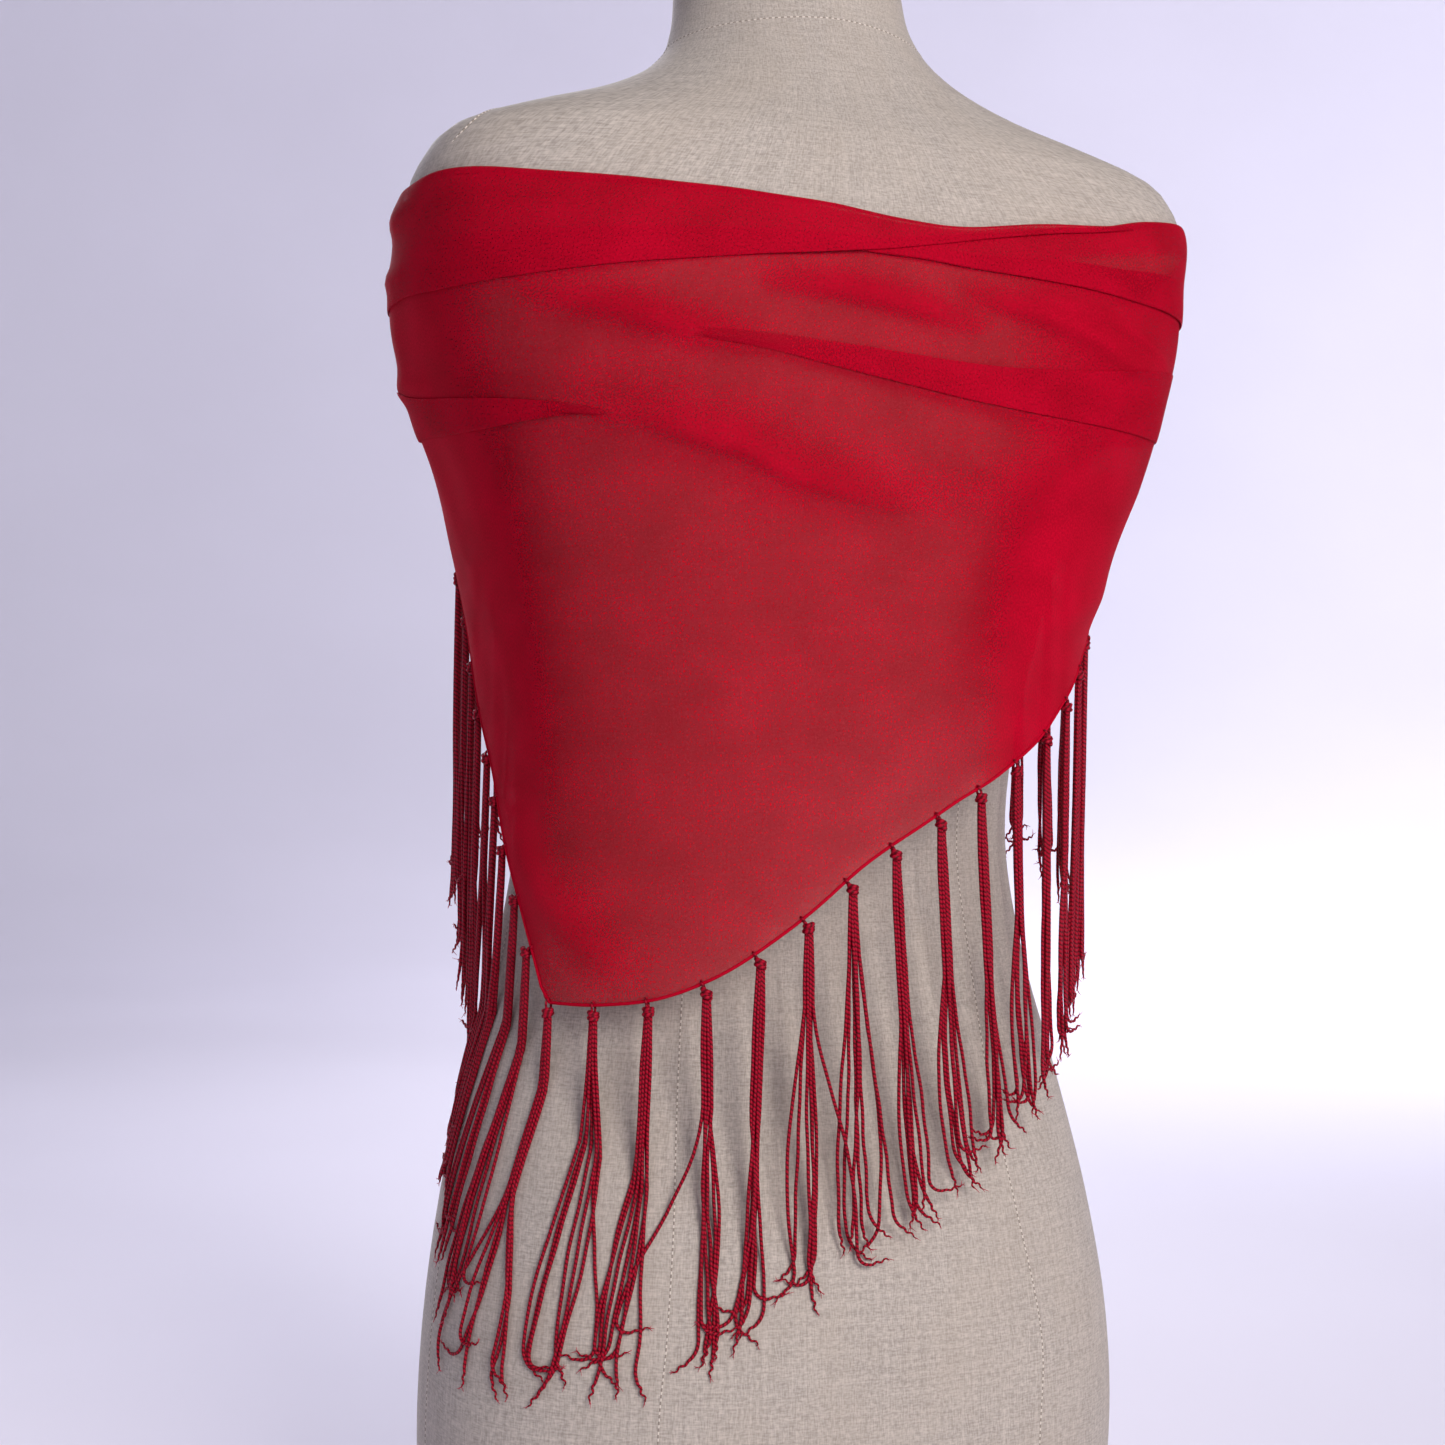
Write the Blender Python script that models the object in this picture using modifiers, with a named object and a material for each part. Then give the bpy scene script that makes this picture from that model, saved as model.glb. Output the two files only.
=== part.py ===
"""A triangular chiffon scarf with knotted tassels, worn off the shoulders on a limbless dress form.

Metres, +Z up, the origin on the surface that the form stands on. The form's back faces -Y and +X
is the form's right-hand side as it is seen from behind. An angle is measured in degrees round the
form from the centre back, and it grows towards +X, so 180 and -180 are both the centre front.
"""

import math
import random
from collections import namedtuple

import bmesh
import bpy
import numpy as np
from mathutils import Vector

MM = 0.001

# Driving sizes of the cloth. Each layer's inner face is one wall and one gap further out.
CLOTH_THICKNESS = 1.2 * MM
FOLD_THICKNESS = 1.5 * MM
LAYER_GAP = 0.6 * MM
LAYER = CLOTH_THICKNESS + LAYER_GAP
SECOND_LAYER = LAYER + FOLD_THICKNESS + LAYER_GAP
SEAM_GAP = 0.3 * MM
TOP_CURL = 1.3 * MM
CURL_START = 0.75

# Where the stretches of the cloth begin and end, in degrees.
CORNER_ANGLE = -68.0
COLUMN_STEP = 5.0
LEFT_SIDE = CORNER_ANGLE - 10 * COLUMN_STEP
RIGHT_SIDE = CORNER_ANGLE + 30 * COLUMN_STEP
FRONT_LEFT_END = -195.0
FRONT_RIGHT_END = 208.0
HEM_CROSSING = -174.0
FRINGE_END = 191.0

# Driving sizes of the fringe.
TASSEL_SPACING = 26 * MM
TASSEL_LENGTH = 168 * MM
HEAD_HEIGHT = 7.0 * MM
HEAD_RADIUS = 2.7 * MM
HEAD_TOP_RADIUS = 1.5 * MM
STRANDS = 5
STRAND_INSET = 0.28 * MM
STRAND_LEVELS = (0.12, 0.38, 0.68, 1.0)
STRAND_REST = 4.4 * MM
OVER_CLOTH_REST = 10.0 * MM
OVER_CLOTH_SHIFT = 1.6 * MM
FRINGE_SEED = 11

# Driving sizes of the form's board and cap.
BOARD_THICKNESS = 11.7 * MM
BOARD_INSET = 3 * MM
BOARD_POINTS = 36
CAP_RADIUS = 54.5 * MM
CAP_EDGE = 6 * MM
CAP_RISE = 9 * MM
CAP_STEPS = 28
FORM_COLUMNS = 36
FORM_ROWS = 26

Section = namedtuple("Section", "height left right back front squareness")
Edge = namedtuple("Edge", "angle height")
Band = namedtuple("Band", "angle low high")
Crease = namedtuple("Crease", "angle height end_angle end_height lift half_width")
Step = namedtuple("Step", "angle offset")

FORM_SECTIONS = [
    Section(0.012, 0.152, 0.152, -0.116, 0.092, 2.40),
    Section(0.050, 0.161, 0.161, -0.127, 0.096, 2.40),
    Section(0.110, 0.1675, 0.1675, -0.135, 0.098, 2.40),
    Section(0.170, 0.166, 0.166, -0.133, 0.098, 2.40),
    Section(0.230, 0.158, 0.158, -0.122, 0.098, 2.35),
    Section(0.290, 0.145, 0.145, -0.105, 0.095, 2.30),
    Section(0.345, 0.131, 0.131, -0.090, 0.091, 2.25),
    Section(0.402, 0.1225, 0.1225, -0.083, 0.090, 2.20),
    Section(0.450, 0.125, 0.125, -0.090, 0.098, 2.20),
    Section(0.500, 0.134, 0.134, -0.103, 0.112, 2.25),
    Section(0.550, 0.145, 0.145, -0.116, 0.128, 2.35),
    Section(0.590, 0.156, 0.156, -0.125, 0.132, 2.50),
    Section(0.625, 0.1745, 0.1760, -0.1305, 0.1225, 2.60),
    Section(0.655, 0.1868, 0.1895, -0.1320, 0.1005, 2.70),
    Section(0.685, 0.1883, 0.1900, -0.1269, 0.0722, 2.80),
    Section(0.706, 0.1840, 0.1852, -0.1175, 0.0475, 2.80),
    Section(0.720, 0.172, 0.172, -0.110, 0.034, 2.70),
    Section(0.730, 0.146, 0.146, -0.102, 0.024, 2.50),
    Section(0.741, 0.113, 0.113, -0.093, 0.020, 2.30),
    Section(0.754, 0.086, 0.086, -0.084, 0.024, 2.15),
    Section(0.769, 0.068, 0.068, -0.075, 0.032, 2.05),
    Section(0.786, 0.0595, 0.0595, -0.066, 0.042, 2.00),
    Section(0.810, 0.0555, 0.0555, -0.059, 0.049, 2.00),
    Section(0.850, 0.0530, 0.0530, -0.053, 0.053, 2.00),
]

# The cloth's inner face. It rests on the shoulders and shoulder blades and hangs clear of the waist.
DRAPE_SECTIONS = [
    Section(0.300, 0.136, 0.138, -0.126, 0.104, 2.30),
    Section(0.345, 0.136, 0.139, -0.126, 0.107, 2.30),
    Section(0.402, 0.137, 0.140, -0.126, 0.113, 2.30),
    Section(0.450, 0.139, 0.143, -0.127, 0.121, 2.35),
    Section(0.500, 0.145, 0.152, -0.129, 0.130, 2.40),
    Section(0.540, 0.153, 0.166, -0.131, 0.137, 2.50),
    Section(0.575, 0.162, 0.178, -0.1325, 0.139, 2.60),
    Section(0.610, 0.177, 0.188, -0.1335, 0.133, 2.65),
    Section(0.640, 0.1865, 0.192, -0.1335, 0.117, 2.75),
    Section(0.670, 0.189, 0.191, -0.1310, 0.089, 2.80),
    Section(0.700, 0.1875, 0.189, -0.1225, 0.057, 2.80),
    Section(0.722, 0.176, 0.178, -0.1125, 0.038, 2.75),
]

# The scarf's lower edge. Its point hangs at CORNER_ANGLE, on the left of the back.
HEM_RIGHT = [
    Edge(-68.0, 0.3285),
    Edge(-54.5, 0.3300),
    Edge(-42.0, 0.3350),
    Edge(-31.5, 0.3450),
    Edge(-20.5, 0.3605),
    Edge(-10.0, 0.3775),
    Edge(-1.0, 0.3935),
    Edge(9.5, 0.4080),
    Edge(20.0, 0.4215),
    Edge(31.0, 0.4340),
    Edge(40.5, 0.4475),
    Edge(52.0, 0.4700),
    Edge(64.0, 0.4945),
    Edge(80.0, 0.5250),
    Edge(100.0, 0.5490),
    Edge(120.0, 0.5610),
    Edge(140.0, 0.5670),
    Edge(160.0, 0.5740),
    Edge(180.0, 0.5900),
    Edge(195.0, 0.6230),
    Edge(208.0, 0.6680),
]
HEM_LEFT = [
    Edge(-195.0, 0.6130),
    Edge(-185.0, 0.6020),
    Edge(-175.0, 0.5920),
    Edge(-160.0, 0.5770),
    Edge(-140.0, 0.5620),
    Edge(-125.0, 0.5460),
    Edge(-112.0, 0.5220),
    Edge(-106.5, 0.4920),
    Edge(-99.0, 0.4560),
    Edge(-88.5, 0.4220),
    Edge(-81.5, 0.3905),
    Edge(-76.0, 0.3670),
    Edge(-71.0, 0.3450),
    Edge(-68.0, 0.3285),
]

# The folded bands at the top, and the two tucks below them.
TOP_FOLD_LEFT = [
    Band(-148.0, 0.6540, 0.6900),
    Band(-135.0, 0.6480, 0.6945),
    Band(-118.0, 0.6460, 0.6955),
    Band(-99.0, 0.6460, 0.6945),
    Band(-88.0, 0.6455, 0.6935),
    Band(-73.0, 0.6430, 0.6920),
    Band(-62.0, 0.6445, 0.6885),
    Band(-46.0, 0.6500, 0.6857),
    Band(-28.0, 0.6560, 0.6837),
    Band(-9.0, 0.6605, 0.6795),
    Band(6.5, 0.6650, 0.6765),
    Band(20.0, 0.6700, 0.6760),
    Band(36.0, 0.6765, 0.6812),
    Band(50.0, 0.6837, 0.6877),
    Band(57.0, 0.6880, 0.6905),
]
TOP_FOLD_RIGHT = [
    Band(-8.0, 0.6612, 0.6650),
    Band(7.0, 0.6602, 0.6700),
    Band(20.0, 0.6582, 0.6735),
    Band(31.0, 0.6572, 0.6770),
    Band(41.0, 0.6560, 0.6815),
    Band(51.0, 0.6538, 0.6855),
    Band(61.0, 0.6530, 0.6925),
    Band(72.0, 0.6520, 0.6980),
    Band(90.0, 0.6515, 0.6990),
    Band(120.0, 0.6520, 0.6970),
    Band(150.0, 0.6530, 0.6930),
    Band(180.0, 0.6560, 0.6910),
    Band(195.0, 0.6650, 0.6910),
    Band(208.0, 0.6790, 0.6920),
]
TUCK_RIGHT = [
    Band(-35.0, 0.6195, 0.6235),
    Band(-24.5, 0.6165, 0.6225),
    Band(-10.0, 0.6105, 0.6208),
    Band(8.0, 0.6035, 0.6175),
    Band(22.0, 0.5990, 0.6160),
    Band(42.0, 0.5955, 0.6190),
    Band(60.0, 0.5950, 0.6260),
    Band(72.0, 0.5970, 0.6290),
    Band(90.0, 0.6020, 0.6310),
    Band(108.0, 0.6100, 0.6310),
    Band(122.0, 0.6200, 0.6270),
]
TUCK_LEFT = [
    Band(-148.0, 0.6080, 0.6140),
    Band(-134.0, 0.5990, 0.6170),
    Band(-120.0, 0.5930, 0.6160),
    Band(-106.0, 0.5890, 0.6125),
    Band(-95.0, 0.5870, 0.6060),
    Band(-84.0, 0.5850, 0.6010),
    Band(-72.0, 0.5838, 0.5975),
    Band(-62.0, 0.5850, 0.5945),
    Band(-52.0, 0.5865, 0.5910),
    Band(-46.0, 0.5860, 0.5880),
]

# Soft folds in the cloth between and below the bands: where each runs, its lift and its half width.
CREASES = [
    Crease(-58.0, 0.6350, -24.0, 0.6200, 2.2 * MM, 9 * MM),
    Crease(14.0, 0.6450, 64.0, 0.6340, 2.4 * MM, 9 * MM),
    Crease(-50.0, 0.5860, 0.0, 0.5520, 3.0 * MM, 10 * MM),
    Crease(-64.0, 0.4200, -34.0, 0.3540, 4.0 * MM, 14 * MM),
    Crease(-36.0, 0.5200, -22.0, 0.4150, 1.8 * MM, 15 * MM),
    Crease(8.0, 0.5600, 62.0, 0.5700, 2.0 * MM, 11 * MM),
    Crease(26.0, 0.4950, 74.0, 0.5250, 2.0 * MM, 11 * MM),
    Crease(104.0, 0.5950, 168.0, 0.6200, 2.6 * MM, 10 * MM),
    Crease(124.0, 0.6350, 176.0, 0.6300, 2.0 * MM, 9 * MM),
    Crease(-122.0, 0.5700, -166.0, 0.6050, 2.2 * MM, 10 * MM),
]

# How far the outer front stretch lies off the drape as it climbs over what is under it.
FRONT_RIGHT_STEPS = [
    Step(82.0, 0.0),
    Step(132.0, 0.0),
    Step(157.0, LAYER + LAYER_GAP),
    Step(208.0, LAYER + LAYER_GAP),
]
TOP_FOLD_LEFT_STEPS = [
    Step(-148.0, LAYER),
    Step(-30.0, LAYER),
    Step(-12.0, SECOND_LAYER),
    Step(57.0, SECOND_LAYER),
]

LINEN = ("linen_cover", (0.56, 0.50, 0.42), 0.85)
WOOD = ("varnished_board", (0.42, 0.30, 0.19), 0.45)
CHIFFON = ("red_chiffon", (0.50, 0.010, 0.016), 0.60)
CHIFFON_DOUBLED = ("red_chiffon_doubled", (0.42, 0.004, 0.010), 0.60)
RAYON_CORD = ("red_rayon_cord", (0.36, 0.005, 0.018), 0.38)


def clear_scene():
    for old in list(bpy.data.objects):
        bpy.data.objects.remove(old, do_unlink=True)


def new_collection(name):
    collection = bpy.data.collections.new(name)
    bpy.context.scene.collection.children.link(collection)
    return collection


def material(finish):
    """The Principled material of that name, made the first time it is asked for."""
    name, colour, roughness = finish
    if name in bpy.data.materials:
        return bpy.data.materials[name]
    made = bpy.data.materials.new(name)
    made.use_nodes = True
    shader = made.node_tree.nodes["Principled BSDF"]
    shader.inputs["Base Color"].default_value = (*colour, 1.0)
    shader.inputs["Roughness"].default_value = roughness
    shader.inputs["Metallic"].default_value = 0.0
    return made


def add_object(name, data, finish, collection):
    made = bpy.data.objects.new(name, data)
    data.materials.append(material(finish))
    collection.objects.link(made)
    return made


def smooth_value(table, column, at):
    """One column of a table at that place, on a smooth curve through the rows."""
    places = [row[0] for row in table]
    values = np.array([getattr(row, column) for row in table])
    slopes = np.gradient(values, places)
    at = min(max(at, places[0]), places[-1])
    low = min(int(np.searchsorted(places, at, side="right")) - 1, len(places) - 2)
    span = places[low + 1] - places[low]
    t = (at - places[low]) / span
    return float(
        (2 * t**3 - 3 * t**2 + 1) * values[low]
        + (t**3 - 2 * t**2 + t) * span * slopes[low]
        + (3 * t**2 - 2 * t**3) * values[low + 1]
        + (t**3 - t**2) * span * slopes[low + 1]
    )


def straight_value(table, column, at):
    """One column of a table at that place, on straight lines between the rows."""
    places = [row[0] for row in table]
    return float(np.interp(at, places, [getattr(row, column) for row in table]))


def side_width(section, sine):
    """The half width on the side that a direction points to, blended across the middle."""
    share = (1 + sine) / 2
    share = share * share * (3 - 2 * share)
    return section.left * (1 - share) + section.right * share


def section_at(sections, height):
    return Section(
        height,
        *(smooth_value(sections, column, height) for column in Section._fields[1:]),
    )


def ring_point(sections, angle, height, out=0.0):
    """The point of a rounded section at that angle and height, moved out by that much."""
    section = section_at(sections, height)
    turn = math.radians(angle)
    centre = (section.back + section.front) / 2
    depth = (section.front - section.back) / 2
    across = math.sin(turn)
    along = -math.cos(turn)
    width = side_width(section, across)
    power = section.squareness
    reach = (abs(across / width) ** power + abs(along / depth) ** power) ** (-1 / power) + out
    return Vector((reach * across, centre + reach * along, height))


def lifted_point(sections, angle, height, out):
    """The point of the section at that angle and height, moved out along the surface's normal."""
    step = 0.5
    here = ring_point(sections, angle, height)
    around = ring_point(sections, angle + step, height) - ring_point(sections, angle - step, height)
    upwards = ring_point(sections, angle, height + MM) - ring_point(sections, angle, height - MM)
    return here + around.cross(upwards).normalized() * out


def pushed_clear(sections, place, clearance):
    """The same point, or the nearest one that far outside the sections' surface at its height."""
    lowest, highest = sections[0].height, sections[-1].height
    if not lowest <= place.z <= highest:
        return place
    section = section_at(sections, place.z)
    centre = (section.back + section.front) / 2
    angle = math.degrees(math.atan2(place.x, centre - place.y))
    surface = ring_point(sections, angle, place.z, clearance)
    reach = math.hypot(place.x, place.y - centre)
    if reach >= math.hypot(surface.x, surface.y - centre):
        return place
    return surface


def crease_lift(angle, height):
    """How far the soft folds lift the cloth off the drape at that place."""
    lift = 0.0
    for crease in CREASES:
        radius = 0.14
        across = math.radians(crease.end_angle - crease.angle) * radius
        rise = crease.end_height - crease.height
        length = math.hypot(across, rise)
        from_start = math.radians(angle - crease.angle) * radius
        up = height - crease.height
        share = (from_start * across + up * rise) / length**2
        if not -0.1 < share < 1.1:
            continue
        distance = (from_start * rise - up * across) / length
        taper = math.sin(math.pi * (share + 0.1) / 1.2)
        lift += crease.lift * taper * math.exp(-((distance / crease.half_width) ** 2))
    return lift


def cloth_point(angle, height, out=0.0):
    """A point of the cloth's inner face, with its soft folds, moved out by that much."""
    return lifted_point(DRAPE_SECTIONS, angle, height, out + crease_lift(angle, height))


def mapped_grid(columns, rows, place):
    """An open sheet of quads whose points are put where place(across, up) says, both from 0 to 1."""
    bm = bmesh.new()
    bmesh.ops.create_grid(bm, x_segments=columns, y_segments=rows, size=0.5)
    for vertex in bm.verts:
        vertex.co = place(vertex.co.x + 0.5, vertex.co.y + 0.5)
    return bm


def column_angles(first, last):
    """Angles from first to last on the steps that all layers share, so that they lie parallel."""
    shared = [CORNER_ANGLE + COLUMN_STEP * index for index in range(-30, 61)]
    return [first, *(angle for angle in shared if first + 1 < angle < last - 1), last]


def cloth_wall(name, first, last, rows, surface, thickness, finish, collection):
    """A cloth wall: an open sheet whose inner face is surface(angle, up), thickened outwards."""
    angles = column_angles(first, last)
    columns = len(angles) - 1
    bm = mapped_grid(columns, rows, lambda across, up: surface(angles[round(across * columns)], up))
    mesh = bpy.data.meshes.new(name)
    bm.to_mesh(mesh)
    bm.free()
    mesh.shade_smooth()
    wall = add_object(name, mesh, finish, collection)
    solid = wall.modifiers.new("wall", "SOLIDIFY")
    solid.thickness = thickness
    solid.offset = 1.0
    solid.use_quality_normals = True
    return wall


def hem_height(angle):
    """The hem's height at that angle, on whichever side of the corner it is."""
    if angle < CORNER_ANGLE:
        return smooth_value(HEM_LEFT, "height", angle)
    return smooth_value(HEM_RIGHT, "height", angle)


def under_band(band, angle, share):
    low = straight_value(band, "low", angle)
    high = straight_value(band, "high", angle)
    return low + share * (high - low)


def back_top(angle):
    """The hidden upper edge of the back and of both fronts, part of the way up the bands."""
    left = under_band(TOP_FOLD_LEFT, angle, 0.42)
    right = under_band(TOP_FOLD_RIGHT, angle, 0.42)
    share = min(max((angle + 8.0) / 28.0, 0.0), 1.0)
    return left * (1 - share) + right * share


def add_form(collection):
    """The torso from the hips to the top of the neck, one closed solid."""
    lowest, highest = FORM_SECTIONS[0].height, FORM_SECTIONS[-1].height

    def place(across, up):
        # Rows lie closer together over the shoulders, where the width changes fastest.
        height = lowest + (highest - lowest) * (1 - (1 - up) ** 1.35)
        return ring_point(FORM_SECTIONS, -180 + 360 * across, height)

    bm = mapped_grid(FORM_COLUMNS, FORM_ROWS, place)
    bmesh.ops.remove_doubles(bm, verts=bm.verts, dist=0.01 * MM)
    bmesh.ops.holes_fill(bm, edges=[edge for edge in bm.edges if edge.is_boundary], sides=0)
    bmesh.ops.recalc_face_normals(bm, faces=bm.faces)
    mesh = bpy.data.meshes.new("dress_form")
    bm.to_mesh(mesh)
    bm.free()
    mesh.shade_smooth()
    mesh.set_sharp_from_angle(angle=math.radians(50))
    return add_object("dress_form", mesh, LINEN, collection)


def add_base_board(collection):
    """The flat board that closes the form's underside and that it stands on."""
    curve = bpy.data.curves.new("form_base_board", "CURVE")
    curve.dimensions = "2D"
    curve.fill_mode = "BOTH"
    curve.extrude = BOARD_THICKNESS / 2
    outline = curve.splines.new("POLY")
    outline.points.add(BOARD_POINTS - 1)
    for index, point in enumerate(outline.points):
        angle = 360 * index / BOARD_POINTS
        edge = ring_point(FORM_SECTIONS, angle, FORM_SECTIONS[0].height, -BOARD_INSET)
        point.co = (edge.x, edge.y, 0.0, 1.0)
    outline.use_cyclic_u = True
    board = add_object("form_base_board", curve, WOOD, collection)
    board.location.z = BOARD_THICKNESS / 2
    return board


def add_neck_cap(collection):
    """A low turned cap on the neck: a profile run down its outer side and turned about the neck."""
    foot = FORM_SECTIONS[-1].height + SEAM_GAP
    profile = [
        (0.0, CAP_RISE),
        (CAP_RADIUS * 0.55, CAP_RISE * 0.93),
        (CAP_RADIUS * 0.88, CAP_RISE * 0.78),
        (CAP_RADIUS * 0.98, CAP_EDGE * 0.75),
        (CAP_RADIUS, CAP_EDGE * 0.4),
        (CAP_RADIUS * 0.985, 0.0),
        (0.0, 0.0),
    ]
    mesh = bpy.data.meshes.new("form_neck_cap")
    points = [(radius, 0.0, rise) for radius, rise in profile]
    mesh.from_pydata(points, [(i, i + 1) for i in range(len(points) - 1)], [])
    cap = add_object("form_neck_cap", mesh, WOOD, collection)
    cap.location.z = foot
    turned = cap.modifiers.new("turned", "SCREW")
    turned.steps = CAP_STEPS
    turned.render_steps = CAP_STEPS
    turned.use_merge_vertices = True
    turned.merge_threshold = 0.0001
    return cap


def panel_height(low, high, up):
    """A height up a panel whose rows lie closer together towards the top."""
    return low + (high - low) * up * (1.5 - 0.5 * up)


def add_back(collection):
    """The back stretch, from the left side to the right, with the scarf's point in its hem."""

    def surface(angle, up):
        return cloth_point(angle, panel_height(hem_height(angle), back_top(angle), up))

    first, last = LEFT_SIDE, RIGHT_SIDE
    return cloth_wall("scarf_back", first, last, 15, surface, CLOTH_THICKNESS, CHIFFON, collection)


def seam_angle(side, gap):
    """The angle that is that far past a side seam, for a cloth about 0.16 m from the middle."""
    return side + math.degrees(gap / 0.16)


def add_front_left(collection):
    """The inner front stretch. It runs on from the back's left edge and ends under the outer one."""

    def surface(angle, up):
        share = 0.42 + 0.55 * min(max((-146 - angle) / 4, 0.0), 1.0)
        high = under_band(TOP_FOLD_LEFT, max(angle, TOP_FOLD_LEFT[0].angle), share)
        return cloth_point(angle, panel_height(hem_height(angle), high, up))

    first, last = FRONT_LEFT_END, seam_angle(LEFT_SIDE, -2 * SEAM_GAP)
    name = "scarf_front_left"
    return cloth_wall(name, first, last, 8, surface, CLOTH_THICKNESS, CHIFFON, collection)


def front_right_offset(angle):
    return straight_value(FRONT_RIGHT_STEPS, "offset", angle)


def outer_cloth_point(angle, height, out=0.0):
    """A point of the outer front stretch. Past 180 degrees it lies over the inner one's folds."""
    wrapped = angle - 360
    lift = max(crease_lift(angle, height), crease_lift(wrapped, height))
    return lifted_point(DRAPE_SECTIONS, angle, height, front_right_offset(angle) + lift + out)


def add_front_right(collection):
    """The outer front stretch, which narrows to a tip at the left of the chest."""

    def surface(angle, up):
        high = under_band(TOP_FOLD_RIGHT, angle, 0.42)
        return outer_cloth_point(angle, panel_height(hem_height(angle), high, up))

    first, last = seam_angle(RIGHT_SIDE, 2 * SEAM_GAP), FRONT_RIGHT_END
    name = "scarf_front_right"
    return cloth_wall(name, first, last, 8, surface, CLOTH_THICKNESS, CHIFFON, collection)


def band_wall(name, band, rows, layer_point, curl_from, collection):
    """A folded band laid over the cloth. layer_point(angle, height, out) is the face under it.

    Past the angle curl_from its top rolls in over the edge below it.
    """

    def surface(angle, up):
        turned_in = max(0.0, (up - CURL_START) / (1 - CURL_START))
        curl = TOP_CURL * min(max((angle - curl_from) / 20, 0.0), 1.0)
        return layer_point(angle, under_band(band, angle, up), -curl * turned_in**2)

    first, last = band[0].angle, band[-1].angle
    return cloth_wall(name, first, last, rows, surface, FOLD_THICKNESS, CHIFFON_DOUBLED, collection)


def add_bands(collection):
    """The doubled folds: two bands along the top edge and a tuck below each of them."""

    def left_point(angle, height, out):
        return cloth_point(angle, height, straight_value(TOP_FOLD_LEFT_STEPS, "offset", angle) + out)

    def right_point(angle, height, out):
        if angle < RIGHT_SIDE:
            return cloth_point(angle, height, LAYER + out)
        return outer_cloth_point(angle, height, LAYER + out)

    def tuck_point(angle, height, out):
        return cloth_point(angle, height, LAYER + out)

    band_wall("top_fold_left", TOP_FOLD_LEFT, 4, left_point, -180, collection)
    band_wall("top_fold_right", TOP_FOLD_RIGHT, 4, right_point, 15, collection)
    band_wall("tuck_right", TUCK_RIGHT, 2, tuck_point, 180, collection)
    band_wall("tuck_left", TUCK_LEFT, 2, tuck_point, 180, collection)


def hem_line(first, last, step, surface):
    """Points close together along the hem between two angles, at the middle of the wall."""
    count = round(abs(last - first) / step)
    angles = [first + (last - first) * index / count for index in range(count + 1)]
    return [(angle, surface(angle, hem_height(angle), CLOTH_THICKNESS / 2)) for angle in angles]


def spaced_along(line, spacing, skip):
    """Angles at even spacing along the hem line, from skip past its start."""
    found = []
    wanted = skip
    travelled = 0.0
    for (angle, point), (next_angle, next_point) in zip(line, line[1:]):
        length = (next_point - point).length
        while travelled + length >= wanted:
            share = (wanted - travelled) / length
            found.append(angle + share * (next_angle - angle))
            wanted += spacing
        travelled += length
    return found


def hem_frame(angle, surface, cloth_side):
    """The hem point at an angle, the way off the cloth there, and the way along the ground."""
    step = 0.5
    here = surface(angle, hem_height(angle), CLOTH_THICKNESS / 2)
    before = surface(angle - step, hem_height(angle - step), CLOTH_THICKNESS / 2)
    after = surface(angle + step, hem_height(angle + step), CLOTH_THICKNESS / 2)
    above = surface(angle, hem_height(angle) + 5 * MM, CLOTH_THICKNESS / 2)
    edge = (after - before).normalized()
    off_cloth = above - here
    off_cloth = (edge * off_cloth.dot(edge) - off_cloth).normalized()
    level = Vector((edge.x, edge.y, 0.0)).normalized()
    return here, off_cloth, level if cloth_side > 0 else -level


def knot_reach(off_cloth):
    """How far a knot reaches from its middle back towards the hem, by its top rim or its foot."""
    sideways = math.hypot(off_cloth.x, off_cloth.y)
    upwards = HEAD_HEIGHT / 2 * abs(off_cloth.z)
    return max(upwards + HEAD_TOP_RADIUS * sideways, HEAD_RADIUS * sideways - upwards)


def hanging_slides(centre, over_cloth):
    """How far the tassel's middle has slid sideways, at each level, off the form or cloth below."""
    slides = []
    slide = Vector((0.0, 0.0, 0.0))
    for share in STRAND_LEVELS:
        plumb = centre + slide - Vector((0.0, 0.0, TASSEL_LENGTH * share))
        place = pushed_clear(FORM_SECTIONS, plumb, STRAND_REST)
        if over_cloth:
            place = pushed_clear(DRAPE_SECTIONS, place, OVER_CLOTH_REST)
        slide = slide + place - plumb
        slides.append(slide)
    return slides


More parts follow.
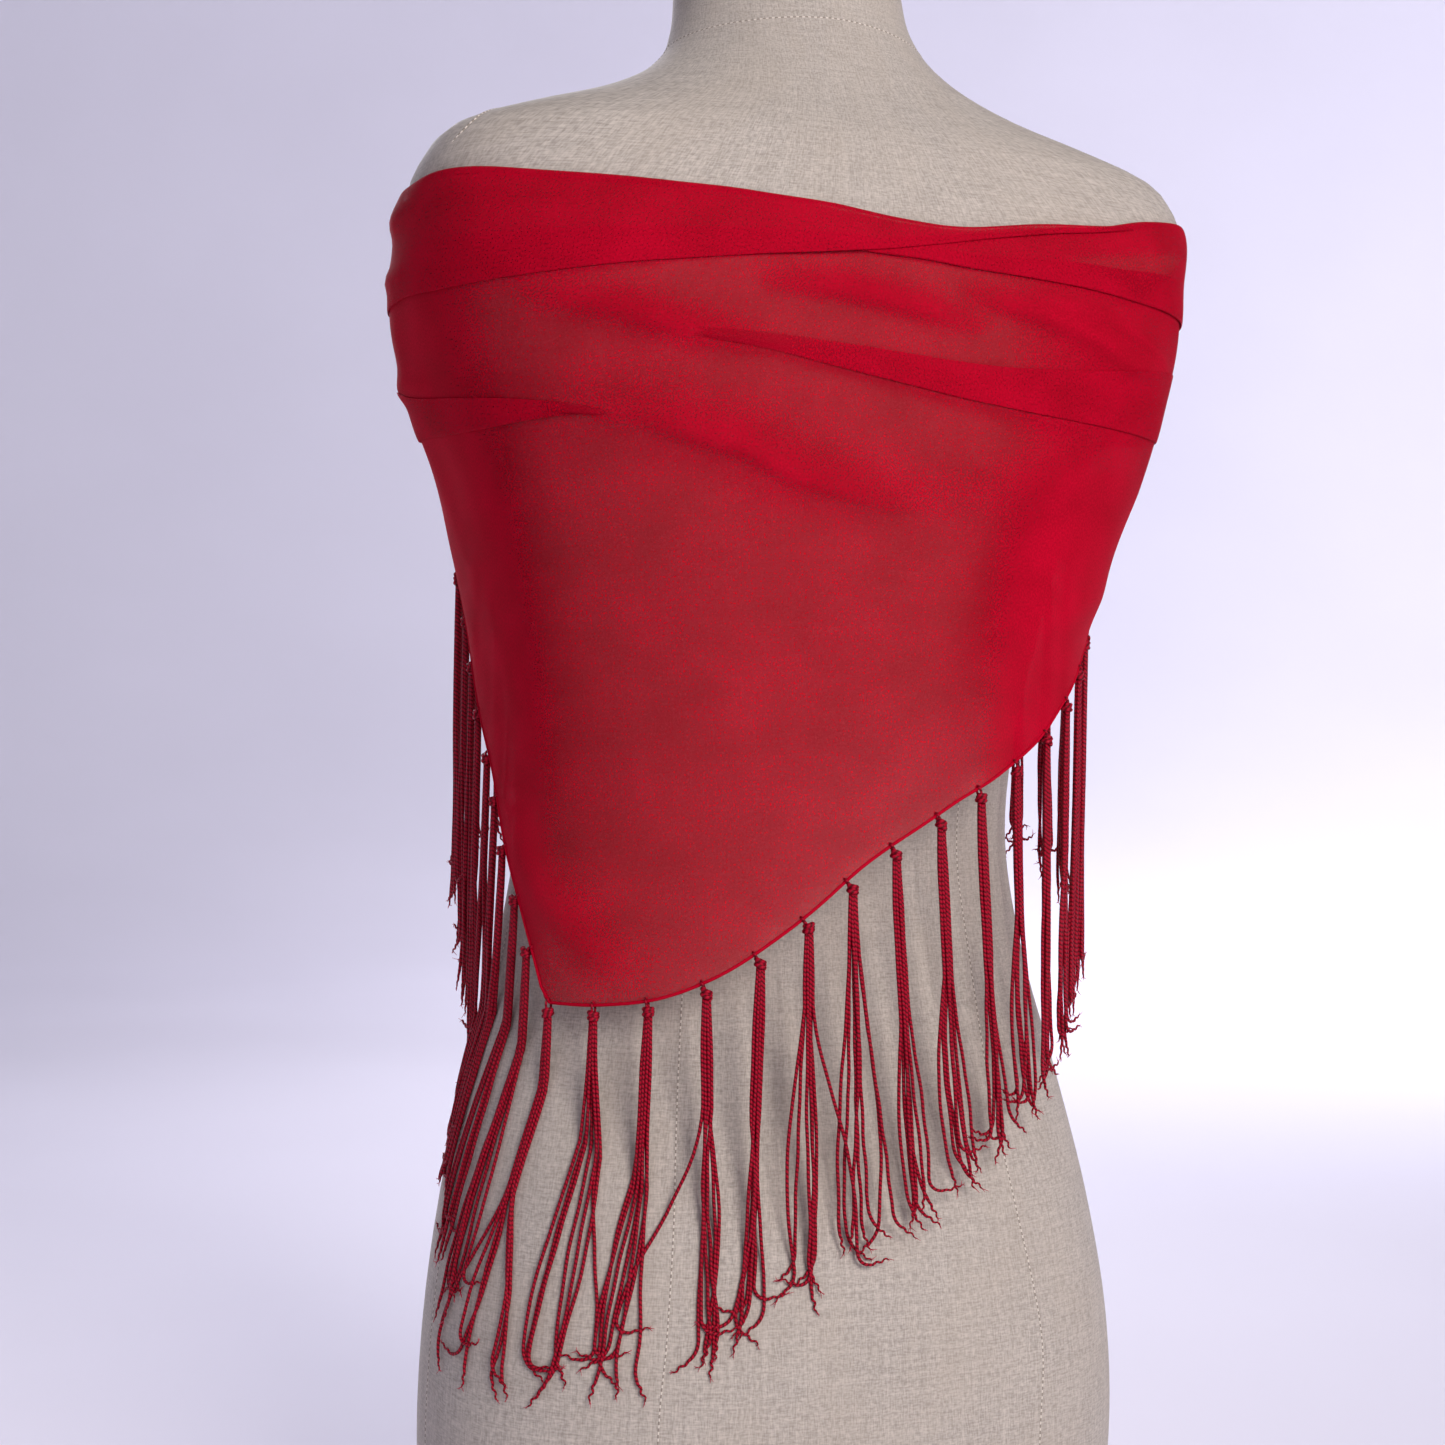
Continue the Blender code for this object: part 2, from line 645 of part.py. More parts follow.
def add_tassel(name, angle, surface, cloth_side, spread, over_cloth, chance, collection):
    """One tassel: a small knot just off the hem, with its strands pulled from the knot's base."""
    here, off_cloth, level = hem_frame(angle, surface, cloth_side)
    centre = here + off_cloth * (knot_reach(off_cloth) + SEAM_GAP)
    outward = Vector((level.y, -level.x, 0.0))
    if outward.dot(Vector((centre.x, centre.y, 0.0))) < 0:
        outward = -outward
    if over_cloth:
        centre += outward * OVER_CLOTH_SHIFT

    bm = bmesh.new()
    bmesh.ops.create_cone(
        bm,
        cap_ends=True,
        cap_tris=True,
        segments=STRANDS,
        radius1=HEAD_RADIUS,
        radius2=HEAD_TOP_RADIUS,
        depth=HEAD_HEIGHT,
    )
    roots = [face for face in bm.faces if face.normal.z < -0.9]
    bmesh.ops.inset_individual(bm, faces=roots, thickness=STRAND_INSET)
    for vertex in bm.verts:
        turned = level * vertex.co.x + outward * vertex.co.y
        vertex.co = centre + turned + Vector((0.0, 0.0, vertex.co.z))
    bm.normal_update()
    slides = hanging_slides(centre, over_cloth)
    roots.sort(key=lambda face: face.calc_center_median().dot(level))
    for index, face in enumerate(roots):
        root = face.calc_center_median()
        offsets = [vertex.co - root for vertex in face.verts]
        fan = 2 * index / (STRANDS - 1) - 1
        end = spread * (fan + chance.uniform(-0.15, 0.15))
        length = TASSEL_LENGTH * chance.uniform(0.90, 1.0)
        for share, slide in zip(STRAND_LEVELS, slides):
            place = root + slide + level * end * share**1.6 - Vector((0.0, 0.0, length * share))
            grown = bmesh.ops.extrude_discrete_faces(bm, faces=[face])["faces"]
            face = grown[0]
            thin = 1.0 if share < 1.0 else 0.55
            for vertex, offset in zip(face.verts, offsets):
                vertex.co = place + offset * thin
    bmesh.ops.recalc_face_normals(bm, faces=bm.faces)
    mesh = bpy.data.meshes.new(name)
    bm.to_mesh(mesh)
    bm.free()
    mesh.shade_smooth()
    mesh.set_sharp_from_angle(angle=math.radians(35))
    return add_object(name, mesh, RAYON_CORD, collection)


def add_fringe(collection):
    """Tassels at even spacing along both hems, numbered from the corner."""
    chance = random.Random(FRINGE_SEED)

    def back_or_outer(angle, height, out):
        if angle < RIGHT_SIDE:
            return cloth_point(angle, height, out)
        return outer_cloth_point(angle, height, out)

    right = hem_line(CORNER_ANGLE, FRINGE_END, 1.0, back_or_outer)
    left = hem_line(CORNER_ANGLE, HEM_CROSSING, 1.0, cloth_point)
    number = 0
    for angle in spaced_along(right, TASSEL_SPACING, 2 * MM):
        number += 1
        over = angle > 181
        spread = 6 * MM if over else 8 * MM
        add_tassel(f"tassel_{number:02d}", angle, back_or_outer, 1, spread, over, chance, collection)
    for angle in spaced_along(left, TASSEL_SPACING, TASSEL_SPACING):
        number += 1
        steep = angle > -114
        spread = 4 * MM if steep else 7 * MM
        add_tassel(f"tassel_{number:02d}", angle, cloth_point, -1, spread, False, chance, collection)


def main():
    clear_scene()
    collection = new_collection("tassel_scarf_on_dress_form")
    add_form(collection)
    add_base_board(collection)
    add_neck_cap(collection)
    add_back(collection)
    add_front_left(collection)
    add_front_right(collection)
    add_bands(collection)
    add_fringe(collection)


main()
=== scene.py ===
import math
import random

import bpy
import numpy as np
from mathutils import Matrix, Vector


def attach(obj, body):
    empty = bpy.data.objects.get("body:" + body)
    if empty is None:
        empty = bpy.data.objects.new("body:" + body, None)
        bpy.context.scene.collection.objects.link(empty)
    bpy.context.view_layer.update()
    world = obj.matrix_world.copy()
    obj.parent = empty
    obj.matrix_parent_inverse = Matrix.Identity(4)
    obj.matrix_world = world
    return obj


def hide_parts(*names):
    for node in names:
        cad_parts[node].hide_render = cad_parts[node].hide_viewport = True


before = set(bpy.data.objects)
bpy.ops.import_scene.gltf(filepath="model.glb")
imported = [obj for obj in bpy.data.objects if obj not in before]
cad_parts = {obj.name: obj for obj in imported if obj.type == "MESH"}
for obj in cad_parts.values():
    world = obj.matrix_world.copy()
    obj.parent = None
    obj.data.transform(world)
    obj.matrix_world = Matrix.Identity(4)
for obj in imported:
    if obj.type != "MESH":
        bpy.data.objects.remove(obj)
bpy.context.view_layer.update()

# %% [markdown]
# # A tassel scarf on a dress form
# The CAD model gives the place and size of every piece. Here the plain solids get their real
# surfaces: a linen cover with seams, sheer crepe cloth with soft folds, and twisted cords.
# Everything is in metres. An angle is counted in degrees round the form from the centre of its
# back, and it grows towards +X, the right-hand side seen from behind.

MM = 0.001

# %% [markdown]
# ## The shape of the form
# A torso is a stack of rounded sections. Each row says how far the section reaches to the left,
# right, back and front at a height, and how square it is. A smooth curve runs through the rows,
# so a few numbers give the whole body, and the cloth can be laid on it by angle and height.

# %% Sections of the form
FORM_SECTIONS = np.array([
    # height, left, right, back, front, squareness
    (0.012, 0.152, 0.152, -0.116, 0.092, 2.40),
    (0.050, 0.161, 0.161, -0.127, 0.096, 2.40),
    (0.110, 0.1675, 0.1675, -0.135, 0.098, 2.40),
    (0.170, 0.166, 0.166, -0.133, 0.098, 2.40),
    (0.230, 0.158, 0.158, -0.122, 0.098, 2.35),
    (0.290, 0.145, 0.145, -0.105, 0.095, 2.30),
    (0.345, 0.131, 0.131, -0.090, 0.091, 2.25),
    (0.402, 0.1225, 0.1225, -0.083, 0.090, 2.20),
    (0.450, 0.125, 0.125, -0.090, 0.098, 2.20),
    (0.500, 0.134, 0.134, -0.103, 0.112, 2.25),
    (0.550, 0.145, 0.145, -0.116, 0.128, 2.35),
    (0.590, 0.156, 0.156, -0.125, 0.132, 2.50),
    (0.625, 0.1745, 0.1760, -0.1305, 0.1225, 2.60),
    (0.655, 0.1868, 0.1895, -0.1320, 0.1005, 2.70),
    (0.685, 0.1883, 0.1900, -0.1269, 0.0722, 2.80),
    (0.706, 0.1840, 0.1852, -0.1175, 0.0475, 2.80),
    (0.720, 0.172, 0.172, -0.110, 0.034, 2.70),
    (0.730, 0.146, 0.146, -0.102, 0.024, 2.50),
    (0.741, 0.113, 0.113, -0.093, 0.020, 2.30),
    (0.754, 0.086, 0.086, -0.084, 0.024, 2.15),
    (0.769, 0.068, 0.068, -0.075, 0.032, 2.05),
    (0.786, 0.0595, 0.0595, -0.066, 0.042, 2.00),
    (0.810, 0.0555, 0.0555, -0.059, 0.049, 2.00),
    (0.850, 0.0530, 0.0530, -0.053, 0.053, 2.00),
])


def from_table(table, column, at):
    """One column of a table at those places, on a smooth curve through the rows."""
    places, values = table[:, 0], table[:, column]
    slopes = np.gradient(values, places)
    at = np.clip(at, places[0], places[-1])
    low = np.clip(np.searchsorted(places, at, side="right") - 1, 0, len(places) - 2)
    span = places[low + 1] - places[low]
    t = (at - places[low]) / span
    return (
        (2 * t**3 - 3 * t**2 + 1) * values[low]
        + (t**3 - 2 * t**2 + t) * span * slopes[low]
        + (3 * t**2 - 2 * t**3) * values[low + 1]
        + (t**3 - t**2) * span * slopes[low + 1]
    )


def smooth_rows(table, count):
    """A table's first two columns, at so many even steps on a smooth curve through its rows."""
    numbered = np.column_stack([np.arange(len(table)), np.array(table, float)])
    at = np.linspace(0, len(table) - 1, count)
    return from_table(numbered, 1, at), from_table(numbered, 2, at)


def on_sections(sections, angle, height, out=0.0):
    """Points of the rounded sections at those angles and heights."""
    angle, height = np.broadcast_arrays(np.asarray(angle, float), np.asarray(height, float))
    turn = np.radians(angle)
    across, along = np.sin(turn), -np.cos(turn)
    left, right, back, front, power = (from_table(sections, k, height) for k in range(1, 6))
    share = (1 + across) / 2
    share = share * share * (3 - 2 * share)
    width = left * (1 - share) + right * share
    depth = (front - back) / 2
    reach = (np.abs(across / width) ** power + np.abs(along / depth) ** power) ** (-1 / power)
    reach = reach + out
    return np.stack([reach * across, (back + front) / 2 + reach * along, height], axis=-1)


def unit(vectors):
    return vectors / np.linalg.norm(vectors, axis=-1, keepdims=True)


def normals_of(sections, angle, height):
    before, after = (on_sections(sections, angle + step, height) for step in (-0.5, 0.5))
    below, above = (on_sections(sections, angle, height + step) for step in (-MM, MM))
    return unit(np.cross(after - before, above - below))


def off_surface(sections, angle, height, out):
    """Points that far off the sections, along the surface's own normal."""
    angle, height, out = np.broadcast_arrays(
        np.asarray(angle, float), np.asarray(height, float), np.asarray(out, float)
    )
    lift = normals_of(sections, angle, height) * out[..., None]
    return on_sections(sections, angle, height) + lift


def clear_of(sections, points, clearance):
    """The same points, those inside moved out to that clearance at their own height."""
    height = points[..., 2]
    back, front = from_table(sections, 3, height), from_table(sections, 4, height)
    middle = (back + front) / 2
    angle = np.degrees(np.arctan2(points[..., 0], middle - points[..., 1]))
    surface = on_sections(sections, angle, height, clearance)
    reach = np.hypot(points[..., 0], points[..., 1] - middle)
    wanted = np.hypot(surface[..., 0], surface[..., 1] - middle)
    inside = (reach < wanted) & (height > sections[0, 0]) & (height < sections[-1, 0])
    return np.where(inside[..., None], surface, points)


print("form", round(float(FORM_SECTIONS[-1, 0]), 3), "m high to the neck's top")

# %% [markdown]
# ## Small helpers for materials
# Colours are written as sRGB hex values, as a picture editor shows them, and turned to the
# linear values that Blender works with. One helper adds a node with its settings and links, and
# the short ones after it use that one for the few kinds of node that come back in every material.

# %% Material helpers


def colour(hex_code):
    parts = [int(hex_code[k : k + 2], 16) / 255 for k in (1, 3, 5)]
    linear = [p / 12.92 if p <= 0.04045 else ((p + 0.055) / 1.055) ** 2.4 for p in parts]
    return (*linear, 1.0)


def add_node(tree, kind, settings=None, **inputs):
    """A node of that kind. An input is given a value, or another node's output to link."""
    made = tree.nodes.new(kind)
    for name, value in (settings or {}).items():
        setattr(made, name, value)
    for name, value in inputs.items():
        socket = made.inputs[int(name[1:]) if name[1:].isdigit() else name.replace("_", " ")]
        if isinstance(value, bpy.types.NodeSocket):
            tree.links.new(value, socket)
        else:
            socket.default_value = value
    return made


def reckoned(tree, operation, *values):
    """The sum, product or the like of outputs and numbers."""
    inputs = {f"_{index}": value for index, value in enumerate(values)}
    return add_node(tree, "ShaderNodeMath", {"operation": operation}, **inputs).outputs["Value"]


def ranged(tree, value, low, high, to_low=0.0, to_high=1.0):
    """An output stretched from one range to another, and held at its ends."""
    return add_node(
        tree, "ShaderNodeMapRange", Value=value,
        From_Min=low, From_Max=high, To_Min=to_low, To_Max=to_high,
    ).outputs["Result"]


def blended(tree, share, first, second):
    """The first colour where the share is 0, the second where it is 1."""
    made = add_node(tree, "ShaderNodeMix", {"data_type": "RGBA"}, _0=share, _6=first, _7=second)
    return made.outputs[2]


def painted(tree, shader, tint):
    tree.links.new(tint, shader.inputs["Base Color"])


def bumped(tree, shader, height, strength, depth):
    made = add_node(tree, "ShaderNodeBump", Height=height, Strength=strength, Distance=depth)
    tree.links.new(made.outputs["Normal"], shader.inputs["Normal"])


def new_material(name, **values):
    """A new material, its node tree and its shader, with the shader's own values set."""
    made = bpy.data.materials.new(name)
    made.use_nodes = True
    shader = made.node_tree.nodes["Principled BSDF"]
    for socket, value in values.items():
        shader.inputs[socket.replace("_", " ")].default_value = value
    return made, made.node_tree, shader


def own_uv(tree):
    return add_node(tree, "ShaderNodeUVMap", {"uv_map": "UVMap"}).outputs["UV"]


def give(obj, material):
    obj.data.materials.clear()
    obj.data.materials.append(material)


print("red of the cloth", [round(value, 3) for value in colour("#A8001E")])

# %% [markdown]
# ## Natural linen
# The cover is plain-woven natural linen. Its threads are about 0.5 mm wide, too fine to show from
# a metre away, so what the eye gets is the slubs: thicker stretches of thread, 1 to 2 mm wide and
# a few centimetres long, lighter and darker, running both ways. They are drawn as stretched
# noise on the cover's own UV map, which is in metres, so that the threads follow the body.

# %% Linen material
linen, tree, shader = new_material(
    "natural_linen_plain_weave",
    Roughness=0.92, Specular_IOR_Level=0.25, Sheen_Weight=0.12, Sheen_Roughness=0.5,
)
place = own_uv(tree)


def stretched_noise(tree, place, across, up, detail=2.0):
    """Noise whose grains are that many millimetres across and up."""
    mapped = add_node(
        tree, "ShaderNodeMapping", Vector=place, Scale=(1 / (across * MM), 1 / (up * MM), 1.0)
    )
    noise = add_node(
        tree, "ShaderNodeTexNoise", {"noise_dimensions": "2D"},
        Vector=mapped.outputs["Vector"], Scale=1.0, Detail=detail, Roughness=0.55,
    )
    return noise.outputs["Fac"]


warp = stretched_noise(tree, place, 0.75, 3.5, 1.0)
weft = stretched_noise(tree, place, 3.5, 0.75, 1.0)
slubs_up = stretched_noise(tree, place, 1.8, 40.0, 1.0)
slubs_across = stretched_noise(tree, place, 36.0, 1.5, 1.0)
patches = stretched_noise(tree, place, 45.0, 60.0, 3.0)
threads = reckoned(tree, "ADD", warp, weft)
slubs = reckoned(tree, "ADD", slubs_up, slubs_across)
both = reckoned(tree, "MULTIPLY_ADD", slubs, 0.5, threads)
woven = blended(tree, ranged(tree, both, 1.05, 1.95), colour("#9A9289"), colour("#C6BDB2"))
aged = ranged(tree, patches, 0.35, 0.7, 0.0, 0.22)
painted(tree, shader, blended(tree, aged, woven, colour("#B6A999")))
bumped(tree, shader, threads, 0.3, 0.2 * MM)
print(linen.name, "with", len(tree.nodes), "nodes")

# %% [markdown]
# ## The covered torso
# The linen is stretched tight over the body, so its outside is the body's own shape. A flat grid
# is added, wrapped round the sections row by row, and its two edges are merged at the centre
# front. Rows lie closer together over the shoulders, where the width changes fastest.

# %% Linen form
FORM_COLUMNS, FORM_ROWS = 180, 150
ROW_CROWDING = 1.35  # above 1, the rows lie closer together towards the top
FORM_GIRTH = 0.92  # metres round the form, for its UV map
bpy.ops.object.select_all(action="DESELECT")
bpy.ops.mesh.primitive_grid_add(x_subdivisions=FORM_COLUMNS, y_subdivisions=FORM_ROWS, size=1.0)
form = bpy.context.object
form.name = form.data.name = "linen_form"
flat = np.empty(len(form.data.vertices) * 3)
form.data.vertices.foreach_get("co", flat)
flat = flat.reshape(-1, 3)
turned, raised = flat[:, 0] + 0.5, flat[:, 1] + 0.5
foot, top = FORM_SECTIONS[0, 0], FORM_SECTIONS[-1, 0]
height = foot + (top - foot) * (1 - (1 - raised) ** ROW_CROWDING)
wrapped = on_sections(FORM_SECTIONS, -180 + 360 * turned, height)
form.data.vertices.foreach_set("co", wrapped.ravel())
corners = np.empty(len(form.data.loops), dtype=np.int32)
form.data.loops.foreach_get("vertex_index", corners)
form_uv = form.data.uv_layers.active or form.data.uv_layers.new(name="UVMap")
form_uv.name = "UVMap"
metres = np.stack([turned * FORM_GIRTH, height], axis=-1)
form_uv.data.foreach_set("uv", metres[corners].ravel())

bpy.ops.object.mode_set(mode="EDIT")
bpy.ops.mesh.select_all(action="SELECT")
bpy.ops.mesh.remove_doubles(threshold=0.00001)
bpy.ops.mesh.select_all(action="DESELECT")
bpy.ops.mesh.select_non_manifold()
bpy.ops.mesh.fill_holes(sides=0)
bpy.ops.mesh.select_all(action="SELECT")
bpy.ops.mesh.normals_make_consistent(inside=False)
bpy.ops.object.mode_set(mode="OBJECT")
bpy.ops.object.shade_smooth_by_angle(angle=math.radians(50))
give(form, linen)
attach(form, "root")
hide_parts("dress_form")
print("linen_form", len(form.data.vertices), "points")

# %% [markdown]
# ## The board and the cap
# The form stands on a plain board and ends in a low turned cap. Both keep their CAD shape. They
# are wood under satin varnish: long grain streaks a few millimetres wide, in warm brown, with a
# smooth clear surface that shines a little.

# %% Varnished wood
wood, tree, shader = new_material(
    "varnished_beech", Roughness=0.38, Coat_Weight=0.3, Coat_Roughness=0.25
)
place = add_node(tree, "ShaderNodeTexCoord").outputs["Object"]
mapped = add_node(tree, "ShaderNodeMapping", Vector=place, Scale=(12.0, 260.0, 260.0))
grain = add_node(
    tree, "ShaderNodeTexNoise", Vector=mapped.outputs["Vector"],
    Scale=1.0, Detail=4.0, Roughness=0.6,
).outputs["Fac"]
streaks = blended(tree, ranged(tree, grain, 0.3, 0.7), colour("#7A5B3E"), colour("#A98560"))
painted(tree, shader, streaks)
bumped(tree, shader, grain, 0.15, 0.2 * MM)
for node in ("form_base_board", "form_neck_cap"):
    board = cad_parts[node]
    for index in range(len(board.material_slots)):
        board.material_slots[index].link = "OBJECT"
        board.material_slots[index].material = wood
print("varnished_beech on the board and the cap")

# %% [markdown]
# ## Sheer crepe chiffon
# The scarf is red polyester chiffon, woven from hard-twisted yarn that leaves it slightly
# grained and lets light through. A single layer hides about four fifths of what is under it, and
# gathered or folded cloth nearly all. Each piece carries an attribute named cover, worked out
# from how many layers lie at a point, and the pores between the yarns let a little more through.

# %% Chiffon material
CLEAR_SHARE = 0.18  # what one layer of cloth lets through
chiffon, tree, shader = new_material(
    "polyester_crepe_chiffon", Roughness=0.8, Specular_IOR_Level=0.06
)
place = own_uv(tree)
# The yarn's grain is 0.3 mm in the cloth and drawn at 1 mm, so that it shows.
grain = stretched_noise(tree, place, 1.0, 1.1, 2.0)
cloud = stretched_noise(tree, place, 38.0, 26.0, 2.0)
tone = ranged(tree, reckoned(tree, "ADD", grain, cloud), 0.7, 1.3)
painted(tree, shader, blended(tree, tone, colour("#A8001E"), colour("#BE0026")))
cover = add_node(tree, "ShaderNodeAttribute", {"attribute_name": "cover"})
pores = ranged(tree, grain, 0.3, 0.7, -0.12, 0.1)
alpha = add_node(
    tree, "ShaderNodeMath", {"operation": "ADD", "use_clamp": True},
    _0=cover.outputs["Fac"], _1=pores,
)
tree.links.new(alpha.outputs["Value"], shader.inputs["Alpha"])
bumped(tree, shader, grain, 0.25, 0.15 * MM)


def cover_of(layers):
    """What each of a shell's two surfaces hides, for that many layers of cloth."""
    return 1 - CLEAR_SHARE ** (np.asarray(layers, float) / 2)


print("one layer hides", 1 - CLEAR_SHARE, "and two hide", round(1 - CLEAR_SHARE**2, 3))

# %% [markdown]
# ## How the cloth hangs
# The cloth rests on the shoulders and shoulder blades and hangs free of the waist. Its own
# sections say where its inner face lies. Soft folds are added as named lines, each with its lift
# and its width above and below, so that a fold can be steep on one side, as pulled cloth is.

# %% Sections, hems and folds of the cloth
DRAPE_SECTIONS = np.array([
    # height, left, right, back, front, squareness
    (0.300, 0.136, 0.138, -0.126, 0.104, 2.30),
    (0.345, 0.136, 0.139, -0.126, 0.107, 2.30),
    (0.402, 0.137, 0.140, -0.126, 0.113, 2.30),
    (0.450, 0.139, 0.143, -0.127, 0.121, 2.35),
    (0.500, 0.145, 0.152, -0.129, 0.130, 2.40),
    (0.540, 0.153, 0.166, -0.131, 0.137, 2.50),
    (0.575, 0.162, 0.178, -0.1325, 0.139, 2.60),
    (0.610, 0.177, 0.188, -0.1335, 0.133, 2.65),
    (0.640, 0.1865, 0.192, -0.1335, 0.117, 2.75),
    (0.670, 0.189, 0.191, -0.1310, 0.089, 2.80),
    (0.700, 0.1875, 0.189, -0.1225, 0.057, 2.80),
    (0.722, 0.176, 0.178, -0.1125, 0.038, 2.75),
])
HEM_RIGHT = np.array([
    # angle, height
    (-68.0, 0.3285), (-54.5, 0.3300), (-42.0, 0.3350), (-31.5, 0.3450), (-20.5, 0.3605),
    (-10.0, 0.3775), (-1.0, 0.3935), (9.5, 0.4080), (20.0, 0.4215), (31.0, 0.4340),
    (40.5, 0.4475), (52.0, 0.4700), (64.0, 0.4945), (80.0, 0.5250), (100.0, 0.5490),
    (120.0, 0.5610), (140.0, 0.5670), (160.0, 0.5740), (180.0, 0.5900), (195.0, 0.6230),
    (208.0, 0.6680),
])
HEM_LEFT = np.array([
    # angle, height
    (-195.0, 0.6130), (-185.0, 0.6020), (-175.0, 0.5920), (-160.0, 0.5770), (-140.0, 0.5620),
    (-125.0, 0.5460), (-112.0, 0.5220), (-106.5, 0.4920), (-99.0, 0.4560), (-88.5, 0.4220),
    (-81.5, 0.3905), (-76.0, 0.3670), (-71.0, 0.3450), (-68.0, 0.3285),
])
CORNER = -68.0
LEFT_SIDE, RIGHT_SIDE = -118.0, 82.0
LEFT_END, RIGHT_END = -195.0, 208.0

# Each fold: lift in mm, width above and below in mm, how much it gathers the cloth from 0 to 1,
# then its points as angle and height.
FOLDS = {
    "left_blade_upper": (3.0, 8, 5, 0.9, [(-58, 0.636), (-45, 0.630), (-38, 0.624), (-26, 0.619)]),
    "centre_upper": (3.2, 8, 4, 0.9, [(-23, 0.6445), (-11, 0.6435), (1, 0.640), (19, 0.633)]),
    "right_blade_upper": (3.6, 7, 4, 1, [
        (19, 0.646), (33, 0.6405), (43, 0.633), (50, 0.624), (59, 0.623),
    ]),
    "right_pull": (2.0, 4, 2.2, 0.5, [(33, 0.6505), (45, 0.6435), (55, 0.6345), (64, 0.6255)]),
    "centre_dip": (-1.2, 6, 6, 0, [(-28, 0.6405), (-19, 0.634), (-9, 0.623)]),
    "left_tuck_runs_out": (4.2, 15, 3.5, 0.9, [
        (-48, 0.5860), (-41, 0.5836), (-37, 0.580), (-32, 0.576), (-26, 0.572), (-17, 0.561),
        (-4, 0.554), (4, 0.551),
    ]),
    "corner_fold": (4.0, 14, 12, 0.7, [(-77, 0.400), (-68, 0.3775), (-60, 0.362), (-50, 0.345)]),
    "middle_hang": (2.4, 16, 13, 0, [(-36, 0.520), (-30, 0.470), (-22, 0.415)]),
    "right_blade_lower": (2.0, 11, 11, 0.3, [(8, 0.560), (34, 0.566), (62, 0.570)]),
    "right_waist": (2.0, 11, 11, 0.15, [(26, 0.495), (50, 0.512), (74, 0.525)]),
    "front_right_upper": (2.6, 10, 10, 0.3, [(104, 0.595), (136, 0.606), (168, 0.620)]),
    "front_right_top": (2.0, 9, 9, 0.3, [(124, 0.635), (176, 0.630)]),
    "left_roll_top": (3.2, 7, 5, 0.5, [(-150, 0.683), (-118, 0.684), (-98, 0.683), (-84, 0.680)]),
    "left_roll_low": (2.2, 4, 4, 0.5, [(-140, 0.659), (-112, 0.660), (-98, 0.659), (-90, 0.656)]),
    "left_bump": (3.4, 7, 6, 0.5, [(-142, 0.614), (-118, 0.615), (-100, 0.612), (-88, 0.607)]),
    "band_wrinkle_low": (0.8, 4, 4, 0, [(-84, 0.664), (-60, 0.667), (-36, 0.668)]),
    "band_wrinkle_high": (0.7, 3, 5, 0, [(-70, 0.679), (-44, 0.677), (-14, 0.672)]),
    "front_left_upper": (2.2, 10, 10, 0.3, [(-122, 0.570), (-144, 0.588), (-166, 0.605)]),
}
FOLD_RADIUS = 0.14  # turns an angle to metres across, to measure how far a point is from a fold
MID_CLOTH = 0.6 * MM  # how far the middle of the cloth's thickness lies off its inner face
CLOTH_CLEARANCE = 0.9 * MM  # the least that the cloth keeps off the form


def fold_lift(angle, height, folds, gathered=False):
    """How far the named folds lift the cloth at those places, or how much of it they gather."""
    across = np.radians(angle) * FOLD_RADIUS
    lift = np.zeros(np.broadcast(angle, height).shape)
    for rise, above, below, gathers, line in folds.values():
        points = np.array(line, float)
        points[:, 0] = np.radians(points[:, 0]) * FOLD_RADIUS
        spans = points[1:] - points[:-1]
        lengths = np.hypot(spans[:, 0], spans[:, 1])
        starts = np.concatenate([[0.0], np.cumsum(lengths)])
        nearest = np.full(lift.shape, 1e9)
        side = np.zeros(lift.shape)
        share = np.zeros(lift.shape)
        for start, span, length, before in zip(points, spans, lengths, starts):
            t = ((across - start[0]) * span[0] + (height - start[1]) * span[1]) / length**2
            over_end = np.where(t < 0, -t * length, np.where(t > 1, (t - 1) * length, 0.0))
            t = np.clip(t, 0, 1)
            off = (height - start[1]) * span[0] - (across - start[0]) * span[1]
            off = off / length * np.sign(span[0] if abs(span[0]) > 1e-9 else 1.0)
            distance = np.hypot(off, over_end)
            closer = distance < nearest
            nearest = np.where(closer, distance, nearest)
            side = np.where(closer, off, side)
            share = np.where(closer, (before + t * length) / starts[-1], share)
        width = np.where(side > 0, above, below) * MM
        taper = np.sin(np.pi * (0.08 + 0.84 * share)) ** 0.8
        height_of = gathers if gathered else rise * MM
        lift = lift + height_of * taper * np.exp(-((nearest / width) ** 2))
    return lift


def ripples(angle, height):
    """Slow, uneven waves of less than a millimetre, as hanging cloth has."""
    turn = np.radians(angle)
    return 0.35 * MM * (
        np.sin(7 * turn + 31 * height)
        + 0.8 * np.sin(11 * turn - 52 * height + 1.3)
        + 0.6 * np.sin(19 * turn + 83 * height + 0.4)
    )


def hem_height(angle):
    return np.where(
        angle < CORNER, from_table(HEM_LEFT, 1, angle), from_table(HEM_RIGHT, 1, angle)
    )


def over_step(angle):
    """How far the outer front end lies off the drape, over the inner end."""
    return 2.4 * MM * np.clip((angle - 132.0) / 25.0, 0, 1)


def cloth_place(angle, height, out):
    """Points that far off the cloth's inner face, with its folds."""
    angle, height = np.broadcast_arrays(np.asarray(angle, float), np.asarray(height, float))
    lift = fold_lift(angle, height, FOLDS)
    lift = np.maximum(lift, np.where(angle > 150, fold_lift(angle - 360, height, FOLDS), lift))
    lift = lift + ripples(angle, height) + over_step(angle)
    points = off_surface(DRAPE_SECTIONS, angle, height, lift + out)
    return clear_of(FORM_SECTIONS, points, CLOTH_CLEARANCE)


print(len(FOLDS), "folds in the cloth")

